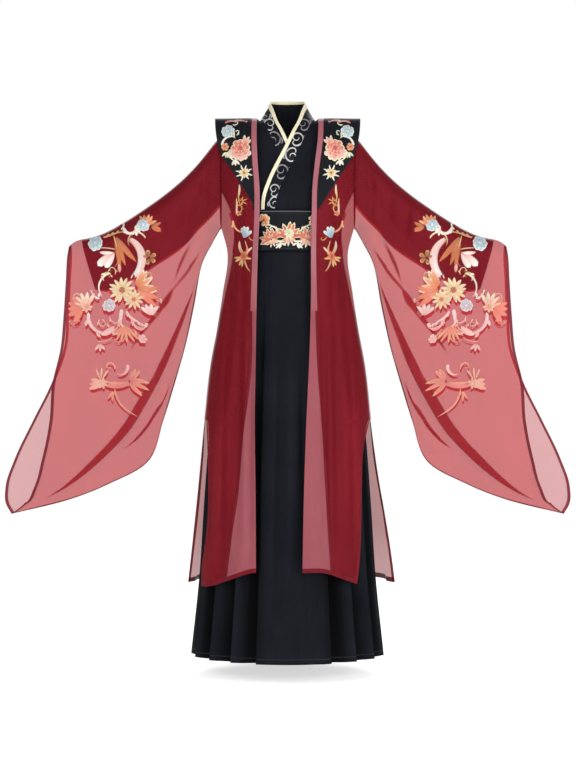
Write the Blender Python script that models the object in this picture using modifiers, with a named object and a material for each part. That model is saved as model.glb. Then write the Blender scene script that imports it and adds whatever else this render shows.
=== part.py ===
"""A worn hanfu set: a black left-over-right dress with a wide belt, under an open red robe.

Metres, +Z up, the front faces -Y and +X is the wearer's left. The origin is on the shoulder line,
midway between the shoulders, where the wearer holds the set up. Every wall is a grid of points on
a form that is worked out from named sizes, thickened inwards.
"""
import math

import bpy
import numpy as np

COLLECTION = "hanfu_robe_set"

# ---------------------------------------------------------------- driving sizes
CLOTH = 0.0010            # wall of every cloth piece
BELT_WALL = 0.0024        # the belt is stiffened
LAP = 0.0004              # air between a piece and the one that lies on it
SEAM = 0.0005             # half the gap at a seam
LAYER = CLOTH + LAP       # how far a piece that lies on another is moved out

SHOULDER_BEND = -0.12     # above this height the cloth bends over to the shoulder line
BEND_FULLNESS = 0.8       # power of the bend: 1 is an ellipse, less is squarer
SHOULDER_DROP = 0.050     # the shoulder line falls this far from neck to armhole
DROP_FROM = 0.095         # and is level out to here
ARMHOLE_X = 0.176         # the robe's straight armhole
ARMPIT_Z = -0.285

ROBE_HEM_FRONT_Z = -1.176
ROBE_HEM_SIDE_Z = -1.221
SLIT_TOP_Z = -0.790
BELT_TOP_Z = -0.245
BELT_LOW_Z = -0.351

LINING_LIFT = 0.0020      # heights of the layers' tops over the dress at the shoulder
ROBE_LIFT = 0.0040
LINING_IN = 0.0040        # the lining hangs this far inside the robe
OVER_LAP = 0.0054         # the over front stands this far off the form where it crosses
BELT_OUT = 0.0118

NECK_X = 0.062            # dress neckline at the shoulder seam
DRESS_NECK_DIP = 0.042
ROBE_NECK_X = 0.0806
ROBE_NECK_DIP = 0.060
NECK_EASE = 0.0030        # the robe's back stands off the dress by the neck
BACK_SPREAD = 0.020       # how much further out the back's hem hangs on the wearer's left
BACK_BAND_OUT = 0.0018    # the pink band lies a little looser there
NECK_COLUMNS = (1, 0.96, 0.86, 0.68, 0.36, 0)
NECK_ROUND = 0.7          # power of the neckline's curve at the back
NECK_FADE = 0.120         # how far down the neck dip bends the rows of a back


def table(names, rows):
    """A table with named columns, sorted by its first column."""
    values = np.array(sorted(rows), dtype=float)
    return {name: values[:, k] for k, name in enumerate(names.split())}


def look(source, column, at):
    """A smooth reading of one column: cubic pieces through the rows, level past both ends."""
    keys = next(iter(source.values()))
    values = source[column]
    slopes = np.gradient(values, keys)
    at = np.clip(np.asarray(at, dtype=float), keys[0], keys[-1])
    k = np.clip(np.searchsorted(keys, at) - 1, 0, len(keys) - 2)
    width = keys[k + 1] - keys[k]
    t = (at - keys[k]) / width
    return ((2 * t**3 - 3 * t**2 + 1) * values[k] + (t**3 - 2 * t**2 + t) * width * slopes[k]
            + (3 * t**2 - 2 * t**3) * values[k + 1] + (t**3 - t**2) * width * slopes[k + 1])


# The dress as worn, closed round a general figure
DRESS = table("z half_width front_depth back_depth", [
    (-0.120, 0.176, 0.108, 0.100),
    (-0.170, 0.170, 0.118, 0.098),
    (-0.240, 0.146, 0.108, 0.090),
    (-0.300, 0.131, 0.098, 0.086),
    (-0.355, 0.136, 0.104, 0.096),
    (-0.456, 0.150, 0.118, 0.120),
    (-0.600, 0.178, 0.142, 0.146),
    (-0.800, 0.205, 0.168, 0.170),
    (-1.000, 0.221, 0.186, 0.188),
    (-1.200, 0.234, 0.200, 0.202),
    (-1.410, 0.256, 0.216, 0.216),
])

# The robe over it; below the slits its front and back part
ROBE = table("z front_width back_width front_depth back_depth", [
    (-0.120, 0.1960, 0.1960, 0.124, 0.114),
    (-0.200, 0.1910, 0.1910, 0.132, 0.112),
    (-0.250, 0.1840, 0.1840, 0.128, 0.108),
    (-0.285, 0.1755, 0.1755, 0.126, 0.106),
    (-0.345, 0.1600, 0.1600, 0.124, 0.110),
    (-0.456, 0.1720, 0.1720, 0.136, 0.134),
    (-0.545, 0.1860, 0.1860, 0.150, 0.156),
    (-0.650, 0.2050, 0.2050, 0.167, 0.172),
    (-0.780, 0.2190, 0.2190, 0.184, 0.190),
    (-1.000, 0.2340, 0.2400, 0.208, 0.214),
    (-1.222, 0.2490, 0.2640, 0.230, 0.238),
])

# Where the fronts' free edges hang; left is the wearer's
FRONT_EDGE = table("z left right", [
    (0.000, 0.0806, 0.0806),
    (-0.066, 0.0775, 0.0803),
    (-0.125, 0.0700, 0.0775),
    (-0.182, 0.0640, 0.0730),
    (-0.260, 0.0620, 0.0729),
    (-0.354, 0.0600, 0.0770),
    (-0.474, 0.0596, 0.0797),
    (-0.657, 0.0540, 0.0822),
    (-0.792, 0.0475, 0.0836),
    (-0.954, 0.0420, 0.0817),
    (-1.222, 0.0370, 0.0802),
])

# The pink band's width; low down it turns into the wide turned-back edge
BAND = table("z left right", [
    (0.000, 0.0138, 0.0138),
    (-0.350, 0.0135, 0.0140),
    (-0.474, 0.0160, 0.0155),
    (-0.657, 0.0270, 0.0180),
    (-0.792, 0.0420, 0.0300),
    (-0.954, 0.0600, 0.0460),
    (-1.084, 0.0690, 0.0640),
    (-1.222, 0.0780, 0.0790),
])

# The fronts' outer edges below the slit tops
SLIT_EDGE = table("z left right", [
    (-0.790, 0.2150, 0.2130),
    (-0.857, 0.1980, 0.2095),
    (-0.955, 0.1920, 0.2065),
    (-1.060, 0.1895, 0.2085),
    (-1.120, 0.1875, 0.2155),
    (-1.180, 0.1830, 0.2235),
    (-1.222, 0.1780, 0.2235),
])

# The side edge of the fronts' lining, which is cut away in a wedge under the arm
LINING_SIDE = table("z across", [
    (0.000, 0.1740),
    (-0.190, 0.1740),
    (-0.235, 0.1530),
    (-0.285, 0.1380),
    (-0.345, 0.1420),
    (-0.420, 0.1560),
    (-0.500, 0.1730),
])

# The over front's collar: its inner and outer edges on the chest
COLLAR = table("z inner outer", [
    (-0.300, -0.0700, -0.0270),
    (-0.245, -0.0690, -0.0330),
    (-0.213, -0.0670, -0.0280),
    (-0.176, -0.0545, -0.0145),
    (-0.124, -0.0310, 0.0120),
    (-0.090, -0.0130, 0.0275),
    (-0.064, 0.0000, 0.0390),
    (-0.036, 0.0125, 0.0510),
    (-0.016, 0.0255, 0.0600),
    (-0.005, 0.0590, 0.0680),
    (0.000, 0.0650, 0.0720),
])

# The collar's inner edge where it leaves the chest and stands round the neck, from the front to
# the middle of the back, and its outer edge, which lies on the shoulder and back
NECK_FRONT = table("z inner_x inner_y inner_z", [
    (-0.005, 0.0350, -0.0340, 0.0200),
    (0.000, 0.0450, -0.0030, 0.0440),
])
NECK_BACK = table("turn inner_x inner_y inner_z outer_x outer_y", [
    (0.35, 0.0440, 0.0220, 0.0500, 0.0660, 0.0300),
    (0.70, 0.0270, 0.0440, 0.0525, 0.0430, 0.0590),
    (1.00, 0.0003, 0.0520, 0.0535, 0.0003, 0.0700),
])

DRESS_ARMHOLE = table("z across", [
    (0.000, 0.1500),
    (-0.060, 0.1420),
    (-0.120, 0.1380),
    (-0.200, 0.1400),
    (-0.260, 0.1420),
])

# A shoulder wing's free outer edge
WING = table("z outer", [
    (0.000, 0.1915),
    (-0.030, 0.1895),
    (-0.062, 0.1850),
    (-0.100, 0.1740),
    (-0.154, 0.1370),
    (-0.200, 0.1090),
    (-0.2446, 0.0800),
])
WING_LIFT = 0.0066
WING_OUT = 0.0028
WING_SPREAD = 0.260       # half-width of the flatter ellipse that a wing follows outwards
WING_TIP = 0.004
WING_GAP = 0.0018         # between the pink band and the wing

# A sleeve's rings: the arm's line on top, the bottom fold, the depth at the arm and below it,
# where the arm lies, and how far down the inner sleeve reaches. Out is away from the body.
SLEEVE = table("ring top_out top_z low_out low_z arm_depth low_depth arm_place lining", [
    (0, 0.1776, -0.046, 0.1776, -0.285, 0.058, 0.040, 0.30, 0.74),
    (1, 0.2150, -0.089, 0.2000, -0.325, 0.058, 0.036, 0.26, 0.70),
    (2, 0.2700, -0.148, 0.2285, -0.385, 0.055, 0.030, 0.22, 0.62),
    (3, 0.3250, -0.195, 0.2480, -0.490, 0.052, 0.026, 0.17, 0.49),
    (4, 0.3900, -0.241, 0.2720, -0.600, 0.050, 0.024, 0.13, 0.38),
    (5, 0.4450, -0.276, 0.3050, -0.715, 0.048, 0.022, 0.10, 0.31),
    (6, 0.4900, -0.299, 0.3300, -0.795, 0.046, 0.022, 0.09, 0.26),
    (7, 0.5250, -0.310, 0.3680, -0.900, 0.045, 0.024, 0.08, 0.235),
    (8, 0.5500, -0.315, 0.4700, -0.960, 0.044, 0.028, 0.07, 0.20),
    (9, 0.5670, -0.322, 0.5850, -1.005, 0.044, 0.032, 0.07, 0.20),
    (10, 0.5795, -0.333, 0.7320, -1.041, 0.044, 0.036, 0.07, 0.20),
])

# How far the cuff's front and back edges bow in towards the body, down its length
CUFF = table("down front back", [
    (0.00, 0.000, 0.000),
    (0.11, 0.012, 0.012),
    (0.26, 0.029, 0.029),
    (0.38, 0.040, 0.040),
    (0.52, 0.039, 0.026),
    (0.65, 0.052, 0.000),
    (0.80, 0.053, -0.027),
    (0.90, 0.047, -0.034),
    (0.97, 0.024, -0.019),
    (1.00, 0.000, 0.000),
])

# Sleeve folds: troughs that run from the underarm towards the cuff
SLEEVE_FOLDS = [
    # first ring, last ring, place down the ring at its start, middle and end, width, depth
    (1.2, 9.8, 0.88, 0.80, 0.95, 0.050, 0.011),
    (0.8, 6.5, 0.76, 0.60, 0.52, 0.040, 0.008),
    (3.0, 8.6, 0.96, 0.92, 0.97, 0.030, 0.006),
]

SLEEVE_RINGS = (0, 0.6, 1.2, 1.8, 2.5, 3.2, 4.0, 4.8, 5.6, 6.4, 7.1, 7.8, 8.5, 9.2, 10)
SLEEVE_STEPS = 9
LINING_STEPS = 7
LINING_LAST_RING = 7.8
LINING_UNDER = 0.0036     # the inner sleeve hangs this far under the outer one's top
LINING_NARROW = 0.80      # the inner sleeve's depth against the outer one's

# Skirt pleats: the folded edges, in degrees round from the front
FRONT_PANEL = (-18.5, 26.0)
LEFT_PLEATS = (26.0, 44.0, 62.0, 81.0, 101.0, 122.0, 143.0, 163.0)
RIGHT_PLEATS = (-18.5, -35.0, -52.5, -71.0, -91.0, -112.0, -134.0, -157.0)
SIDE_PANELS = (          # a side's panels: place, and the pleats at its two seams
    ("front", 0, 3),
    ("middle", 3, 5),
    ("back", 5, 7),
)
PLEAT_DEPTH = 0.013
PLEAT_STEP = 0.12         # the share of a pleat that its folded edge takes
PANEL_PARTING = 0.10      # degrees between the skirt's panels

BEND_ROWS = (-0.120, -0.090, -0.064, -0.036, -0.016, -0.005, 0.0)
BODICE_ROWS = (-0.300, -0.272, -0.245, -0.213, -0.176, -0.150) + BEND_ROWS
WING_ROWS = (-0.2446, -0.205, -0.176, -0.150) + BEND_ROWS
ROBE_ROWS = (-1.222, -1.090, -0.970, -0.860, -0.780, -0.650, -0.545, -0.445, -0.345, -0.285,
             -0.235, -0.176) + BEND_ROWS
SKIRT_ROWS = (-1.410, -1.180, -0.960, -0.760, -0.590, -0.450, -0.360, -0.3005)


# ---------------------------------------------------------------- the form
def smooth(value, low, high):
    """0 below low, 1 above high, with level ends."""
    t = np.clip((np.asarray(value, dtype=float) - low) / (high - low), 0, 1)
    return t * t * (3 - 2 * t)


def shoulder_line(x):
    """Height of the shoulder seam: level by the neck, then falling to the armhole."""
    past = np.clip((np.abs(x) - DROP_FROM) / (ARMHOLE_X - DROP_FROM), 0, 1.2)
    return -SHOULDER_DROP * past ** 1.6


def cloth_height(z):
    """The cloth's own height for a height z seen by the neck: the two part over the bend."""
    share = np.clip((np.asarray(z, dtype=float) - SHOULDER_BEND) / -SHOULDER_BEND, 0, 1)
    turn = np.arcsin(share ** (1 / BEND_FULLNESS)) * 2 / math.pi
    return np.where(np.asarray(z) > SHOULDER_BEND, SHOULDER_BEND * (1 - turn), z)


def widths(form, z, back):
    """Half-width and depth of the form's ellipse at a height, on its front or its back."""
    low = np.minimum(z, SHOULDER_BEND)
    width = "half_width" if "half_width" in form else ("back_width" if back else "front_width")
    return look(form, width, low), look(form, "back_depth" if back else "front_depth", low)


def on_form(form, x, height, back, out=0.0, lift=0.0):
    """Points on a layer: an ellipse section that bends over to the shoulder line at the top."""
    x, height, out = np.broadcast_arrays(x, height, out)
    half_width, depth = widths(form, height, back)
    share = np.clip(1 - (x / (half_width + out)) ** 2, 0, 1)
    turn = np.clip(1 - height / SHOULDER_BEND, 0, 1) * math.pi / 2
    above = height > SHOULDER_BEND
    reach = np.where(above, np.clip(np.cos(turn), 0, 1) ** BEND_FULLNESS, 1)
    rise = np.sin(turn) ** BEND_FULLNESS
    top = shoulder_line(x) + lift
    z = np.where(above, SHOULDER_BEND + (top - SHOULDER_BEND) * rise, height)
    y = SEAM + (depth + out) * np.sqrt(share) * reach
    return np.stack([x, y if back else -y, z], axis=-1)


def columns(form, z, back, edges, counts, out=0.0):
    """Widths of a panel's columns: evenly turned round the ellipse between the given edges."""
    half_width = widths(form, z, back)[0] + out
    turns = [np.arcsin(np.clip(edge / half_width, -1, 1)) for edge in edges]
    runs = [np.linspace(a, b, n + 1)[:-1] for a, b, n in zip(turns, turns[1:], counts)]
    return half_width[:, None] * np.sin(np.concatenate(runs + [turns[-1:]])).T


def folds(x, z, back):
    """Soft hanging folds of the robe: waves round the body that grow towards the hem."""
    grow = smooth(-z, 0.40, 1.10)
    phase = 1.3 if back else 0.2
    wave = np.sin(x * 62 + phase) + 0.5 * np.sin(x * 101 + 2.1 * phase)
    return 0.0035 * grow * wave


# ---------------------------------------------------------------- walls
def core_of(grid):
    """A point inside the body for each point of a piece, to tell inwards from outwards."""
    core = np.zeros_like(grid)
    core[..., 2] = np.minimum(grid[..., 2], -0.15)
    return core


def normals(grid, closed=False):
    """Unit normals of a grid, along columns crossed with rows."""
    if closed:
        wide = np.concatenate([grid[:, -1:], grid, grid[:, :1]], axis=1)
        across = (wide[:, 2:] - wide[:, :-2]) / 2
    else:
        across = np.gradient(grid, axis=1)
    normal = np.cross(across, np.gradient(grid, axis=0))
    return normal / np.maximum(np.linalg.norm(normal, axis=-1, keepdims=True), 1e-12)


def facing_out(grid, core, closed=False):
    """The grid with its columns turned round, if need be, so that its faces point outwards."""
    if np.sum(normals(grid, closed) * (grid - core)) < 0:
        return grid[:, ::-1]
    return grid


def moved_out(grid, distance):
    """A piece's points moved out from the body, for what lies on it."""
    grid = facing_out(grid, core_of(grid))
    return grid + distance * normals(grid)


def material(name, colour, roughness):
    mat = bpy.data.materials.new(name)
    mat.use_nodes = True
    shader = mat.node_tree.nodes["Principled BSDF"]
    shader.inputs["Base Color"].default_value = (*colour, 1)
    shader.inputs["Roughness"].default_value = roughness
    shader.inputs["Metallic"].default_value = 0
    return mat


def wall(name, grid, colour, roughness, thickness=CLOTH, closed=False, core=None):
    """A cloth piece: the grid is its outer face, and Solidify gives the wall inwards."""
    grid = facing_out(grid, core_of(grid) if core is None else core, closed)
    rows, across = grid.shape[:2]
    index = np.arange(rows * across).reshape(rows, across)
    if closed:
        index = np.concatenate([index, index[:, :1]], axis=1)
    faces = np.stack([index[:-1, :-1], index[:-1, 1:], index[1:, 1:], index[1:, :-1]], axis=-1)
    mesh = bpy.data.meshes.new(name)
    mesh.from_pydata(grid.reshape(-1, 3).tolist(), [], faces.reshape(-1, 4).tolist())
    mesh.shade_smooth()
    piece = bpy.data.objects.new(name, mesh)
    piece.data.materials.append(material(name, colour, roughness))
    shell = piece.modifiers.new("wall", "SOLIDIFY")
    shell.thickness = thickness
    shell.offset = -1
    shell.use_even_offset = True
    bpy.data.collections[COLLECTION].objects.link(piece)
    return piece


def mirrored(grid, side):
    """The grid on the wearer's left as it is, or turned over to the right."""
    return grid * np.array([1 if side == "left" else -1, 1, 1])


BLACK = (0.012, 0.015, 0.018)
CREAM = (0.80, 0.74, 0.55)
RED = (0.24, 0.012, 0.022)
SHEER_RED = (0.42, 0.06, 0.08)
PINK = (0.55, 0.20, 0.26)


# ---------------------------------------------------------------- the dress
def bodice_front(over):
    """Half of the bodice, cut to the slanting collar line; the over front stands off the other."""
    z = np.array(BODICE_ROWS)
    sign = 1 if over else -1
    armhole = np.where(z > -0.26, look(DRESS_ARMHOLE, "across", z), 9)
    inner, outer = look(COLLAR, "inner", z), look(COLLAR, "outer", z)
    x = columns(DRESS, z, False, (inner, inner + (outer - inner) * 0.25, outer, armhole),
                (1, 2, 8))
    out = np.zeros_like(x)
    if over:
        beneath = -look(COLLAR, "inner", z)[:, None]
        out = OVER_LAP * (1 - smooth(x, beneath + 0.010, beneath + 0.045))
    grid = on_form(DRESS, x, cloth_height(z)[:, None], False, out)
    return grid * np.array([sign, 1, 1])


def collar(front, side):
    """The collar band: on the front's edge columns, then standing round the neck to the back."""
    z = np.array(BODICE_ROWS)
    lying = moved_out(mirrored(front, side), LAYER)
    if abs(lying[0, 0, 0]) > abs(lying[0, -1, 0]):
        lying = lying[:, ::-1]
    band = lying[:, :4].copy()
    share = np.array([0, 0.25, 0.625, 1.0])
    standing = [k for k, row in enumerate(z) if row > -0.01]
    for k in standing:
        inner = np.array([look(NECK_FRONT, c, z[k]) for c in ("inner_x", "inner_y", "inner_z")])
        band[k] = inner + (band[k, 3] - inner) * share[:, None]
    turned = []
    for turn in (0.18, 0.35, 0.53, 0.70, 0.86, 1.0):
        blend = min(turn / 0.35, 1)
        row = {c: look(NECK_BACK, c, turn) for c in NECK_BACK}
        outer_y = row["outer_y"] * blend
        outer_x = band[-1, 3, 0] + (row["outer_x"] - band[-1, 3, 0]) * blend
        inner = band[-1, 0] + (np.array([row["inner_x"], row["inner_y"], row["inner_z"]])
                               - band[-1, 0]) * blend
        outer = np.array([outer_x, outer_y, neck_base(outer_x, outer_y)])
        turned.append(inner + (outer - inner) * share[:, None])
    return np.concatenate([band, np.array(turned)])


def neck_base(x, y):
    """Height of the collar's outer edge on the back: just off the dress at that place."""
    depth = widths(DRESS, SHOULDER_BEND, True)[1]
    half_width = widths(DRESS, SHOULDER_BEND, True)[0]
    reach = min(y / (depth * math.sqrt(1 - (x / half_width) ** 2)), 1)
    rise = (1 - reach ** (2 / BEND_FULLNESS)) ** (BEND_FULLNESS / 2)
    return SHOULDER_BEND * (1 - rise) + LAYER + LAP


def back_rows(x, z, neck_x, dip):
    """Cloth heights of a back's rows, dipped at the top between the neck points."""
    height = cloth_height(z)[:, None]
    fade = np.clip(1 + height / NECK_FADE, 0, 1)
    return height - dip * np.clip(1 - (x / neck_x) ** 2, 0, 1) ** NECK_ROUND * fade


def back_edges(side_x, neck_x):
    """A back's column edges: closer together where its neckline turns down at the neck points."""
    neck = [np.full_like(side_x, neck_x * share) for share in NECK_COLUMNS]
    return ([-side_x] + [-x for x in neck[:-1]] + neck[::-1] + [side_x],
            [3] + [1] * (2 * len(neck) - 2) + [3])


def bodice_back():
    z = np.array(BODICE_ROWS)
    armhole = np.where(z > -0.26, look(DRESS_ARMHOLE, "across", z), 9)
    x = columns(DRESS, z, True, *back_edges(armhole, NECK_X))
    return on_form(DRESS, x, back_rows(x, z, NECK_X, DRESS_NECK_DIP), True)


def ring(form, z, out, count):
    """A closed ring of the form at each height."""
    turn = np.linspace(-math.pi, math.pi, count, endpoint=False)
    back = np.cos(turn) < 0
    sections = []
    for height in z:
        half_width = widths(form, height, False)[0] + out
        depth = np.where(back, widths(form, height, True)[1], widths(form, height, False)[1]) + out
        sections.append(np.stack([half_width * np.sin(turn), -depth * np.cos(turn),
                                  np.full(count, height)], axis=-1))
    return np.array(sections)


def skirt_panel(turns, pleats):
    """A panel of the skirt: pleats whose folded edges lie nearer the front, deeper to the hem."""
    z = np.array(SKIRT_ROWS)[:, None]
    turn = np.radians(np.array(turns))[None, :]
    dip = np.zeros(len(turns))
    if pleats is not None:
        edges = np.abs(np.array(pleats))
        place = np.abs(np.array(turns))
        k = np.clip(np.searchsorted(edges, place, side="right") - 1, 0, len(edges) - 2)
        share = (place - edges[k]) / (edges[k + 1] - edges[k])
        dip = -PLEAT_DEPTH * (1 - share) * np.clip(share / PLEAT_STEP, 0, 1)
        dip[0] = -PLEAT_DEPTH * 0.8      # a panel's first edge lies under the fold before it
    out = dip[None, :] * smooth(-z, 0.34, 0.95)
    half_width = look(DRESS, "half_width", z) + out
    back = np.cos(turn) < 0
    depth = np.where(back, look(DRESS, "back_depth", z), look(DRESS, "front_depth", z)) + out
    return np.stack([half_width * np.sin(turn), -depth * np.cos(turn),
                     np.broadcast_to(z, half_width.shape)], axis=-1)


def pleat_turns(pleats):
    """Column angles for a run of pleats: each folded edge, its foot, and a point between."""
    turns = []
    for first, second in zip(pleats, pleats[1:]):
        turns += [first + (second - first) * share for share in (0, PLEAT_STEP, 0.42, 0.72)]
    return turns + [pleats[-1]]


def make_dress():
    over, under = bodice_front(True), bodice_front(False)
    wall("dress_front_over", over, BLACK, 0.6)
    wall("dress_front_under", under, BLACK, 0.6)
    wall("dress_back", bodice_back(), BLACK, 0.6)
    for side, front in (("left", over), ("right", under)):
        band = collar(mirrored(front, side), "left")
        strip = moved_out(band, LAYER)
        if abs(strip[0, 0, 0] - band[0, 0, 0]) > abs(strip[0, -1, 0] - band[0, 0, 0]):
            strip = strip[:, ::-1]
        wall("collar_" + side, mirrored(band, side), BLACK, 0.5)
        wall("collar_edge_" + side, mirrored(strip[:, :2], side), CREAM, 0.45)
    wall("belt", ring(DRESS, (BELT_LOW_Z, -0.300, BELT_TOP_Z), BELT_OUT, 48), BLACK, 0.5,
         BELT_WALL, closed=True)

    part = PANEL_PARTING
    first, last = FRONT_PANEL
    wall("skirt_front", skirt_panel(np.linspace(first + part, last - part, 6), None), BLACK, 0.6)
    for side, pleats, turn_way in (("left", LEFT_PLEATS, 1), ("right", RIGHT_PLEATS, -1)):
        for place, seam, next_seam in SIDE_PANELS:
            turns = np.array(pleat_turns(pleats[seam:next_seam + 1]))
            turns[0], turns[-1] = turns[0] + part * turn_way, turns[-1] - part * turn_way
            wall(f"skirt_{side}_{place}", skirt_panel(turns, pleats), BLACK, 0.6)
    back = np.linspace(LEFT_PLEATS[-1] + part, 360 + RIGHT_PLEATS[-1] - part, 6)
    wall("skirt_back", skirt_panel(back, None), BLACK, 0.6)


# ---------------------------------------------------------------- the robe
def robe_front(side, edges, counts, out=0.0, lift=ROBE_LIFT, hem_up=0.0):
    """A grid on one front: columns between the given edges, the hem lower towards the side."""
    z = np.array(ROBE_ROWS)
    x = columns(ROBE, z, False, edges, counts, out)
    half_width = widths(ROBE, z, False)[0][:, None]
    share = np.clip(x / half_width, 0, 1)
    hem = ROBE_HEM_FRONT_Z + (ROBE_HEM_SIDE_Z - ROBE_HEM_FRONT_Z) * smooth(share, 0.3, 0.9)
    low = smooth(-z[:, None], 0.85, 1.222)
    height = cloth_height(z)[:, None] + (hem + hem_up - z[0]) * low
    grid = on_form(ROBE, x, height, False, out + folds(x, z[:, None], False), lift)
    return mirrored(grid, side)


def side_edge(side):
    """The fronts' outer edges: the armhole, the side seam, then the slit."""
    z = np.array(ROBE_ROWS)
    slit = look(SLIT_EDGE, side, z)
    return np.where(z > ARMPIT_Z, ARMHOLE_X, np.where(z > SLIT_TOP_Z, 9, slit))


def back_band(side_x, low):
    """Rows of the pink band round the back of the robe's neck."""
    rows = []
    for q in (0.10, 0.22, 0.36, 0.52, 0.68, 0.84, 1.0):
        along = (1 - (1 - q) ** 2) ** NECK_ROUND
        x = np.array([ROBE_NECK_X, (ROBE_NECK_X + low) / 2, low]) * (1 - q) + SEAM
        dip = np.array([ROBE_NECK_DIP - LAP, ROBE_NECK_DIP + side_x / 2, ROBE_NECK_DIP + side_x])
        out = LAYER + BACK_BAND_OUT * (0.5 + 0.5 * smooth(q, 0, 0.3))
        rows.append(on_form(ROBE, x, -dip * along, True, out + NECK_EASE, ROBE_LIFT + out))
    return np.array(rows)


def make_front(side):
    z = np.array(ROBE_ROWS)
    edge = look(FRONT_EDGE, side, z)
    band = edge + look(BAND, side, z)
    outer = side_edge(side)
    front = robe_front(side, (edge, band, outer), (2, 6))
    wall("robe_front_" + side, front, SHEER_RED, 0.5)

    lined = np.minimum(look(LINING_SIDE, "across", z), ARMHOLE_X - 0.002)
    lined = np.where(z > -0.5, lined, 9)
    lined = np.where(z > SLIT_TOP_Z, lined, outer - 0.004)
    lining = robe_front(side, (band + 0.001, lined), (6,), -LINING_IN, LINING_LIFT, 0.008)
    wall("lining_front_" + side, lining, RED, 0.6)

    strip = robe_front(side, (edge, band), (2,))
    lying = mirrored(moved_out(strip, LAYER), side)
    if lying[0, 0, 0] > lying[0, -1, 0]:
        lying = lying[:, ::-1]
    width = look(BAND, side, 0.0)
    rows = np.concatenate([lying, back_band(float(width), ROBE_NECK_X + float(width))])
    wall("front_band_" + side, mirrored(rows, side), PINK, 0.4)


def make_back():
    z = np.array(ROBE_ROWS)
    outer = np.where(z > ARMPIT_Z, ARMHOLE_X, 9)
    x = columns(ROBE, z, True, *back_edges(outer.astype(float), ROBE_NECK_X))
    height = back_rows(x, z, ROBE_NECK_X, ROBE_NECK_DIP)
    ease = NECK_EASE * (1 - smooth(np.abs(x), ROBE_NECK_X, 0.11))
    grid = on_form(ROBE, x, height, True, folds(x, z[:, None], True) + ease, ROBE_LIFT)
    grid[..., 0] += BACK_SPREAD * smooth(-z[:, None], 0.75, 1.222) * smooth(x, 0.10, 0.26)
    wall("robe_back", grid, SHEER_RED, 0.5)


def make_wing(side):
    """A stiff wing over the shoulder, from a point on the chest to a point on the back."""
    z = np.array(WING_ROWS)
    share = np.linspace(0, 1, 6)[None, :]
    rows = []
    for back in (False, True):
        inner = look(FRONT_EDGE, side, z) + look(BAND, side, z) + WING_GAP
        if back:
            inner = np.full_like(z, ROBE_NECK_X + 0.0138 + WING_GAP)
        outer = np.maximum(look(WING, "outer", z), inner + WING_TIP)
        x = inner[:, None] + (outer - inner)[:, None] * share
        seat = on_form(ROBE, inner[:, None], cloth_height(z)[:, None], back, WING_OUT, WING_LIFT)
        spread = np.sqrt(1 - (x / WING_SPREAD) ** 2)
        y = seat[..., 1] * spread / spread[:, :1]
        grid = np.stack([x, y, np.broadcast_to(seat[..., 2], x.shape)], axis=-1)
        rows.append(grid[::-1][1:] if back else grid)
    wall("shoulder_wing_" + side, mirrored(np.concatenate(rows), side), BLACK, 0.5)


# ---------------------------------------------------------------- the sleeves
def fold_depth(ring_at, down):
    """Troughs along a sleeve: each is a soft groove that follows its own line."""
    depth = np.zeros(np.broadcast(ring_at, down).shape)
    for first, last, start, middle, end, width, deep in SLEEVE_FOLDS:
        along = np.clip((ring_at - first) / (last - first), 0, 1)
        place = start * (1 - along) ** 2 + 2 * (2 * middle - (start + end) / 2) * along \
            * (1 - along) + end * along ** 2
        fade = np.sin(math.pi * along) ** 0.7
        depth = depth + deep * fade * np.exp(-((down - place) / width) ** 2)
    return depth


def sleeve_depth(ring_at, down):
    """Half-depth of a sleeve: full at the arm, thin below it, closed at both folds."""
    arm, low = look(SLEEVE, "arm_depth", ring_at), look(SLEEVE, "low_depth", ring_at)
    place = look(SLEEVE, "arm_place", ring_at)
    body = low * np.sqrt(np.clip(1 - (2 * down - 1) ** 2, 0, 1))
    bulge = (arm - 0.4 * low) * (down / place) * np.exp(1 - down / place) * (1 - down) ** 0.5
    rounded = np.minimum(1, down / (0.5 * place))
    return np.maximum(body, bulge * rounded ** 0.2)


def armhole_depth(z, back):
    """Half-depth of the robe's armhole at a height."""
    half_width, depth = widths(ROBE, z, back)
    reach_low = depth * np.sqrt(np.clip(1 - (ARMHOLE_X / half_width) ** 2, 0, 1))
    top = shoulder_line(ARMHOLE_X) + ROBE_LIFT
    share = np.clip((z - SHOULDER_BEND) / (top - SHOULDER_BEND), 0, 1)
    reach = (1 - share ** (2 / BEND_FULLNESS)) ** (BEND_FULLNESS / 2)
    return reach_low * np.where(z > SHOULDER_BEND, reach, 1)


def sleeve_points(ring_at, down, back):
    """Points on one face of the left sleeve, from the armhole to the bowed cuff."""
    top = np.stack([look(SLEEVE, "top_out", ring_at), look(SLEEVE, "top_z", ring_at)])
    low = np.stack([look(SLEEVE, "low_out", ring_at), look(SLEEVE, "low_z", ring_at)])
    out, z = top + (low - top) * down
    bow = look(CUFF, "back" if back else "front", down)
    out = out - bow * smooth(ring_at, 3.0, 10.0) ** 1.3
    joined = 1 - smooth(ring_at, 0, 1.6)
    y = joined * armhole_depth(z, back) + (1 - joined) * sleeve_depth(ring_at, down)
    y = y - (0.6 * fold_depth(ring_at, down) if back else fold_depth(ring_at, down)) \
        * smooth(ring_at, 0.5, 2.0) * np.clip(y / 0.012, 0, 1)
    y = np.maximum(y, 0.0)
    return np.stack([out, y if back else -y, z], axis=-1)


def tube(front, back):
    """Rings down a sleeve's front face and up its back one."""
    return np.concatenate([front, back[:, -2:0:-1]], axis=1)


def sleeve_wall(name, grid, side, colour):
    grid = mirrored(grid, side)
    core = np.broadcast_to(grid.mean(axis=1, keepdims=True), grid.shape)
    wall(name, grid, colour, 0.5, closed=True, core=core)


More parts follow.
